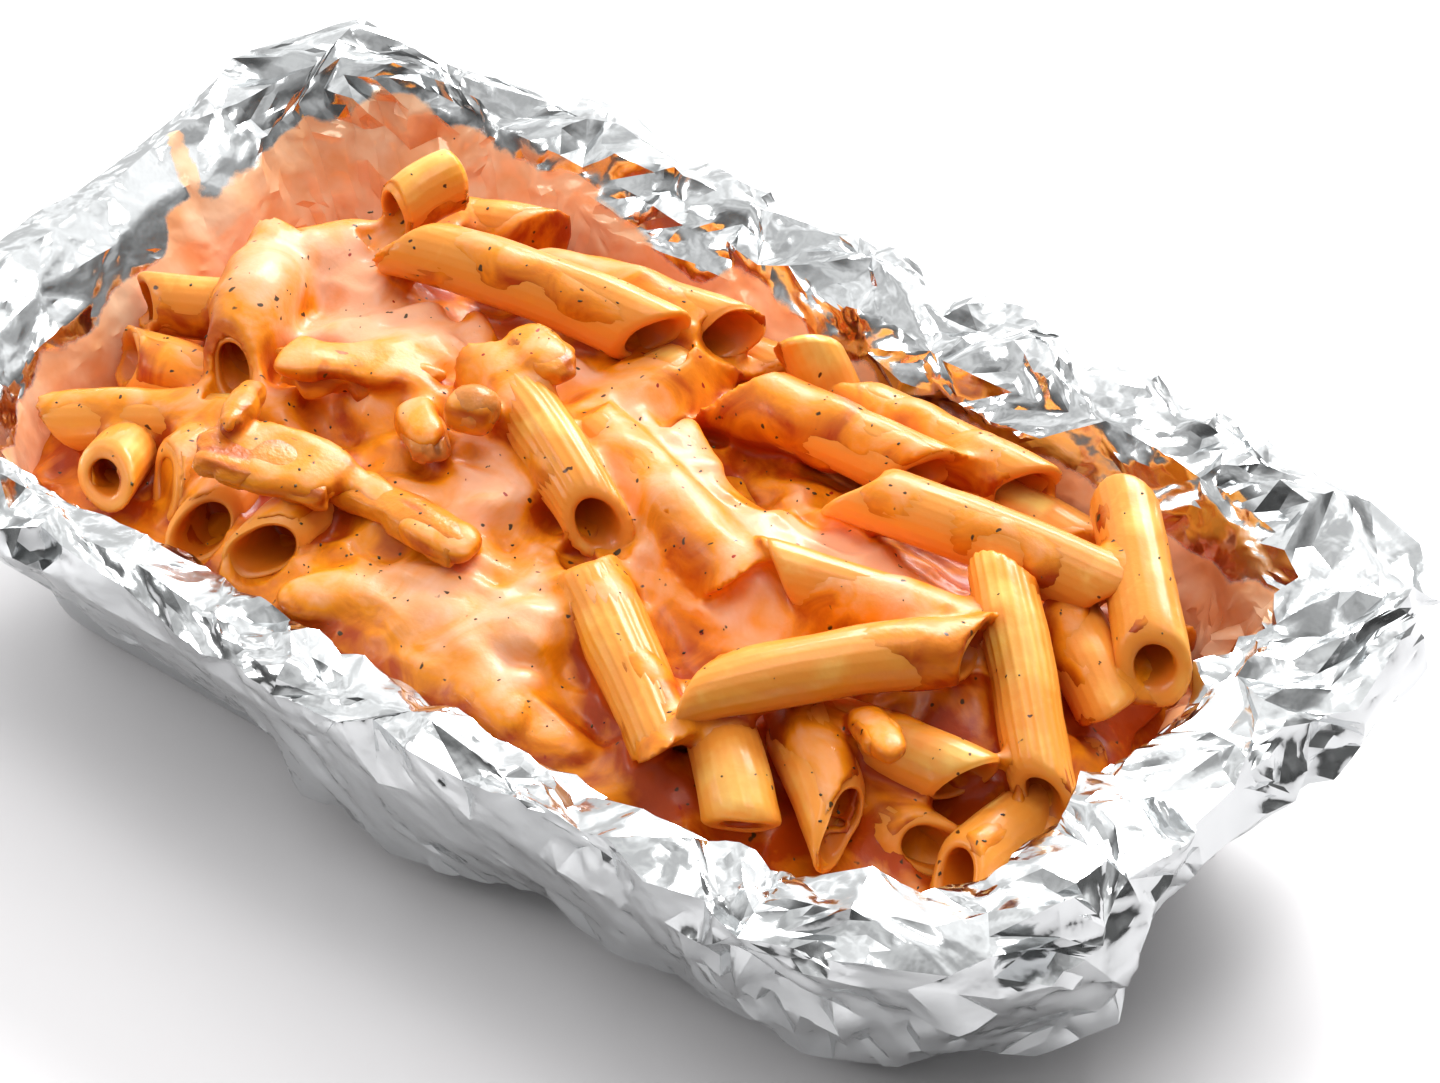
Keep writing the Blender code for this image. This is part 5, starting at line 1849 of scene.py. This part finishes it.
@dataclass
class PastaHeap:
    """The pasta that shows, piece by piece, over a plain core that nobody sees."""

    core_bottom: float = 1.1
    core_gap: float = 5.2
    core_sink: float = 4.0
    # The core is painted in a darker tone of the sauce: painted shade down in the gaps
    core_shade_tone: float = 0.2
    wet_reach: float = 2.6
    stations: int = 44
    rings: int = 7

    def core(self, finish: bpy.types.Material) -> bpy.types.Object:
        """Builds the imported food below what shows.

        Args:
            finish: the sauce's material.

        Returns:
            The piece.
        """
        edge = []
        for k in range(self.stations):
            x, y = OUTLINE.at(k / self.stations, -self.core_gap - 5)
            height = float(HEAP.height(np.array(x), np.array(y))) - self.core_sink
            edge.append((*OUTLINE.at(k / self.stations, OUTLINE.wall(height) - self.core_gap), height))
        verts = []
        for ring in range(1, self.rings + 1):
            for x, y, height in edge:
                px, py = x * ring / self.rings, y * ring / self.rings
                inner = float(HEAP.height(np.array(px), np.array(py))) - self.core_sink
                verts.append((px, py, height if ring == self.rings else inner))
        for height, inset in ((8.0, 0.0), (self.core_bottom, 6.0)):
            for k in range(self.stations):
                offset = OUTLINE.wall(height) - self.core_gap - inset
                verts.append((*OUTLINE.at(k / self.stations, offset), height))
        verts.append((0.0, 0.0, float(HEAP.height(np.array(0.0), np.array(0.0))) - self.core_sink))
        middle = len(verts) - 1
        faces = [(middle, k, (k + 1) % self.stations) for k in range(self.stations)]
        for ring in range(self.rings + 1):
            low, high = ring * self.stations, (ring + 1) * self.stations
            faces += [(low + k, high + k, high + (k + 1) % self.stations, low + (k + 1) % self.stations)
                      for k in range(self.stations)]
        last = (self.rings + 1) * self.stations
        faces.append(tuple(range(last, last + self.stations)))
        item = make_piece("packed_pasta_core", np.array(verts), faces, finish)
        # painted shade: the core takes a darker sauce tone
        set_values(item, "cream", np.full(len(verts), self.core_shade_tone))
        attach(item, "root")
        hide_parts("penne_heap")
        return item

    def build(self, sauce: SauceBlanket, sauce_finish: bpy.types.Material) -> None:
        """Builds every piece of pasta and the core under them.

        Args:
            sauce: the sauce that lies over the pasta.
            sauce_finish: the sauce's material.
        """
        finish = CookedPennePasta().material()
        for piece in PENNE:
            verts, faces, bore = piece.shape()
            item = make_piece(f"penne_{piece.name}", verts, faces, finish)
            gap = sauce.sample(sauce.away, verts)
            set_values(item, "wet", 1 - soft_step(gap, 0.0, self.wet_reach))
            set_values(item, "bore", bore)
            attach(item, "root")
            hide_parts("penne_heap")
        self.core(sauce_finish)
        LOG.info("pasta: %d pieces over a core", len(PENNE))


@dataclass
class Toppings:
    """The chunks of chicken and mushroom."""

    def build(self) -> None:
        """Builds each chunk where its CAD node lies."""
        finishes = {
            Bite.CHICKEN: CookedChunkFinish(Bite.CHICKEN).material(),
            Bite.MUSHROOM: CookedChunkFinish(Bite.MUSHROOM, "#e08a3a", "#9c561a").material(),
        }
        for chunk in CHUNKS:
            verts, faces, groove = chunk.shape()
            item = make_piece(f"pulled_{chunk.name}", verts, faces, finishes[chunk.kind])
            set_values(item, "groove", groove)
            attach(item, "root")
            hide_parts(chunk.name)
            LOG.info("%s: %d faces", chunk.name, len(faces))


@dataclass
class HerbFlecks:
    """Rubbed herbs and cracked pepper, scattered over the food as small ragged flakes."""

    count: int = 320
    seed: int = 5
    area: Span = (-90, 88, -48, 46)
    drop_height: float = 90.0
    steepest: float = 0.2
    sizes: tuple[float, ...] = (0.10, 0.12, 0.14, 0.18, 0.26)
    stretches: Pair = (1.0, 2.2)
    raggedness: Pair = (0.6, 1.1)
    layers: Pair = (0.08, -0.15)

    def build(self, targets: list[bpy.types.Object]) -> bpy.types.Object:
        """Scatters the flecks over what shows from above.

        Args:
            targets: the pieces that the flecks lie on.

        Returns:
            The piece.
        """
        bm = bmesh.new()
        for target in targets:
            bm.from_mesh(target.data)
        tree = BVHTree.FromBMesh(bm)
        bm.free()
        rng = random.Random(self.seed)
        verts, faces = [], []
        made = 0
        while made < self.count:
            x, y = rng.uniform(*self.area[:2]), rng.uniform(*self.area[2:])
            hit, normal, _, _ = tree.ray_cast(Vector((x, y, self.drop_height)) * MM, Vector((0, 0, -1)))
            if hit is None or normal.z < self.steepest:
                continue
            made += 1
            size = rng.choice(self.sizes)
            frame_x = normal.orthogonal().normalized()
            frame_y = normal.cross(frame_x)
            turn = rng.uniform(0, math.tau)
            corners = rng.choice((4, 5, 6))
            first = len(verts)
            longer = rng.uniform(*self.stretches)
            for layer in self.layers:
                for k in range(corners):
                    angle = math.tau * k / corners
                    reach = size * rng.uniform(*self.raggedness)
                    px, py = math.cos(angle) * reach * longer, math.sin(angle) * reach
                    qx = px * math.cos(turn) - py * math.sin(turn)
                    qy = px * math.sin(turn) + py * math.cos(turn)
                    verts.append(hit / MM + frame_x * qx + frame_y * qy + normal * layer)
            faces.append(tuple(range(first, first + corners)))
            faces.append(tuple(range(first + 2 * corners - 1, first + corners - 1, -1)))
            for k in range(corners):
                after = (k + 1) % corners
                faces.append((first + k, first + corners + k, first + corners + after, first + after))
        places = np.array([tuple(v) for v in verts])
        item = make_piece("herb_flecks", places, faces, DriedHerbFinish().material())
        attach(item, "root")
        LOG.info("herb flecks: %d", made)
        return item


# The studio

@dataclass
class Studio:
    """A white board under soft boxes, and the camera at the photograph's angle."""

    azimuth: float = 38.8
    elevation: float = 39.6
    distance: float = 721.0
    shift: tuple[float, float] = (16.3, 24.3)
    lens: float = 112.5
    floor_half: float = 2.5
    sensor: float = 36.0

    # Where the room's wall lies that the foil mirrors at the left, how wide it is and how bright
    backdrop_way: Point = (-0.80, 0.58, 0.10)
    backdrop_edge: Pair = (0.45, 0.95)
    backdrop_glow: float = 0.75

    # The bright ceiling behind the tray
    glow_way: Point = (0.05, 0.65, 0.76)
    glow_edge: Pair = (0.78, 0.98)
    glow: float = 0.50

    # The room is dimmer on the near right than on the far left, and unevenly lit
    side_way: Point = (-0.6, 0.4, 0.0)
    side_dim: Pair = (0.44, 1.34)
    uneven: Pair = (0.62, 1.24)

    # Name, place and aim in metres, two sides in metres, power in watts
    boxes: tuple[tuple, ...] = (
        ("key", (-0.30, 1.05, 0.72), (0.0, 0.0, 0.03), (0.8, 0.45), 21.5),
        ("top", (0.15, 0.15, 1.2), (0.0, 0.0, 0.0), (0.5, 0.5), 3.2),
        ("fill", (-0.9, -0.7, 0.65), (-0.05, -0.12, 0.0), (0.5, 0.4), 3.2),
    )

    def frame_axes(self) -> tuple[Vector, Vector, Vector]:
        """Returns the camera's right, up and back directions.

        Returns:
            Three vectors of length 1.
        """
        a, e = math.radians(self.azimuth), math.radians(self.elevation)
        back = Vector((math.sin(a) * math.cos(e), -math.cos(a) * math.cos(e), math.sin(e)))
        right = Vector((math.cos(a), math.sin(a), 0.0))
        return right, back.cross(right), back

    def camera(self) -> None:
        """Adds the camera."""
        right, up, back = self.frame_axes()
        eye = (back * self.distance + right * self.shift[0] + up * self.shift[1]) * MM
        data = bpy.data.cameras.new("camera")
        data.lens = self.lens
        data.sensor_width = self.sensor
        data.clip_start, data.clip_end = 0.05, 20.0
        item = bpy.data.objects.new("camera", data)
        turn = Matrix((right, up, back)).transposed().to_4x4()
        item.matrix_world = Matrix.Translation(eye) @ turn
        bpy.context.scene.collection.objects.link(item)
        bpy.context.scene.camera = item

    def soft_box(self, name: str, place: Point, aim: Point, size: Pair, watts: float) -> None:
        """Adds one rectangular soft box.

        Args:
            name: the light's name.
            place: where it hangs, in metres.
            aim: the point that it faces.
            size: its two sides, in metres.
            watts: its power.
        """
        data = bpy.data.lights.new(name, "AREA")
        data.shape = "RECTANGLE"
        data.size, data.size_y = size
        data.energy = watts
        item = bpy.data.objects.new(name, data)
        item.location = place
        item.rotation_euler = (Vector(aim) - Vector(place)).to_track_quat("-Z", "Y").to_euler()
        bpy.context.scene.collection.objects.link(item)

    def room(self) -> None:
        """Lights the room: dim at eye level, brighter overhead, so that metal has something to mirror."""
        world = bpy.data.worlds.new("studio_room")
        bpy.context.scene.world = world
        world.use_nodes = True
        tree = world.node_tree
        sky = tree.nodes["Background"]
        way = add_node(tree, "ShaderNodeTexCoord").outputs["Generated"]
        parts = add_node(tree, "ShaderNodeSeparateXYZ", {"Vector": way})
        ramp = add_node(tree, "ShaderNodeValToRGB", {"Fac": parts.outputs["Z"]},
                        stops=((0.05, 0.13), (0.80, 1.0), (0.38, 0.32)))
        left = add_node(tree, "ShaderNodeVectorMath", {0: way, 1: self.backdrop_way}, operation="DOT_PRODUCT")
        backdrop = add_node(tree, "ShaderNodeMapRange", {
            "Value": left.outputs["Value"], "From Min": self.backdrop_edge[0],
            "From Max": self.backdrop_edge[1], "To Max": self.backdrop_glow})
        far = add_node(tree, "ShaderNodeVectorMath", {0: way, 1: self.glow_way}, operation="DOT_PRODUCT")
        glow = add_node(tree, "ShaderNodeMapRange", {
            "Value": far.outputs["Value"], "From Min": self.glow_edge[0], "From Max": self.glow_edge[1],
            "To Max": self.glow})
        white = add_node(tree, "ShaderNodeMath", {
            0: glow.outputs["Result"], 1: backdrop.outputs["Result"]}, operation="ADD")
        bright = add_node(tree, "ShaderNodeMath", {
            0: ramp.outputs["Color"], 1: white.outputs[0]}, operation="ADD")
        behind = add_node(tree, "ShaderNodeVectorMath", {0: way, 1: self.side_way}, operation="DOT_PRODUCT")
        side = add_node(tree, "ShaderNodeMapRange", {
            "Value": behind.outputs["Value"], "From Min": -0.6, "From Max": 0.6,
            "To Min": self.side_dim[0], "To Max": self.side_dim[1]})
        flags = add_node(tree, "ShaderNodeTexNoise", {"Vector": way, "Scale": 2.6, "Detail": 1.0})
        shade = add_node(tree, "ShaderNodeMapRange", {
            "Value": flags.outputs["Fac"], "From Min": 0.38, "From Max": 0.62,
            "To Min": self.uneven[0], "To Max": self.uneven[1]})
        strength = add_node(tree, "ShaderNodeMath", {
            0: side.outputs["Result"], 1: shade.outputs["Result"]}, operation="MULTIPLY")
        fill_sockets(sky, {"Color": bright.outputs[0], "Strength": strength.outputs[0]})

    def board(self) -> None:
        """Lays the floor."""
        half = self.floor_half / MM
        corners = np.array([(-half, -half, 0.0), (half, -half, 0.0), (half, half, 0.0), (-half, half, 0.0)])
        make_piece("white_board", corners, [(0, 1, 2, 3)], LacqueredTableFinish().material())

    def build(self) -> None:
        """Sets the floor, the room, the lights and the camera."""
        self.board()
        self.room()
        for box in self.boxes:
            self.soft_box(*box)
        self.camera()
        bpy.context.scene.view_settings.view_transform = "Standard"


def main() -> None:
    """Builds the studio, the tray, the foil and the food in order."""
    logging.basicConfig(level=logging.INFO, format="%(name)s: %(message)s")
    Studio().build()
    PressedTray().build()
    FoilWrap().build()
    for chunk in CHUNKS:
        chunk.settle()
    sauce = SauceBlanket()
    sauce.fill()
    sauce_finish = CreamSauceFinish().material()
    blanket = sauce.build(sauce_finish)
    PastaHeap().build(sauce, sauce_finish)
    Toppings().build()
    food = [o for o in bpy.data.objects if o.name.startswith(("penne_", "pulled_"))]
    HerbFlecks().build([blanket] + food)


if __name__ == "__main__":
    main()
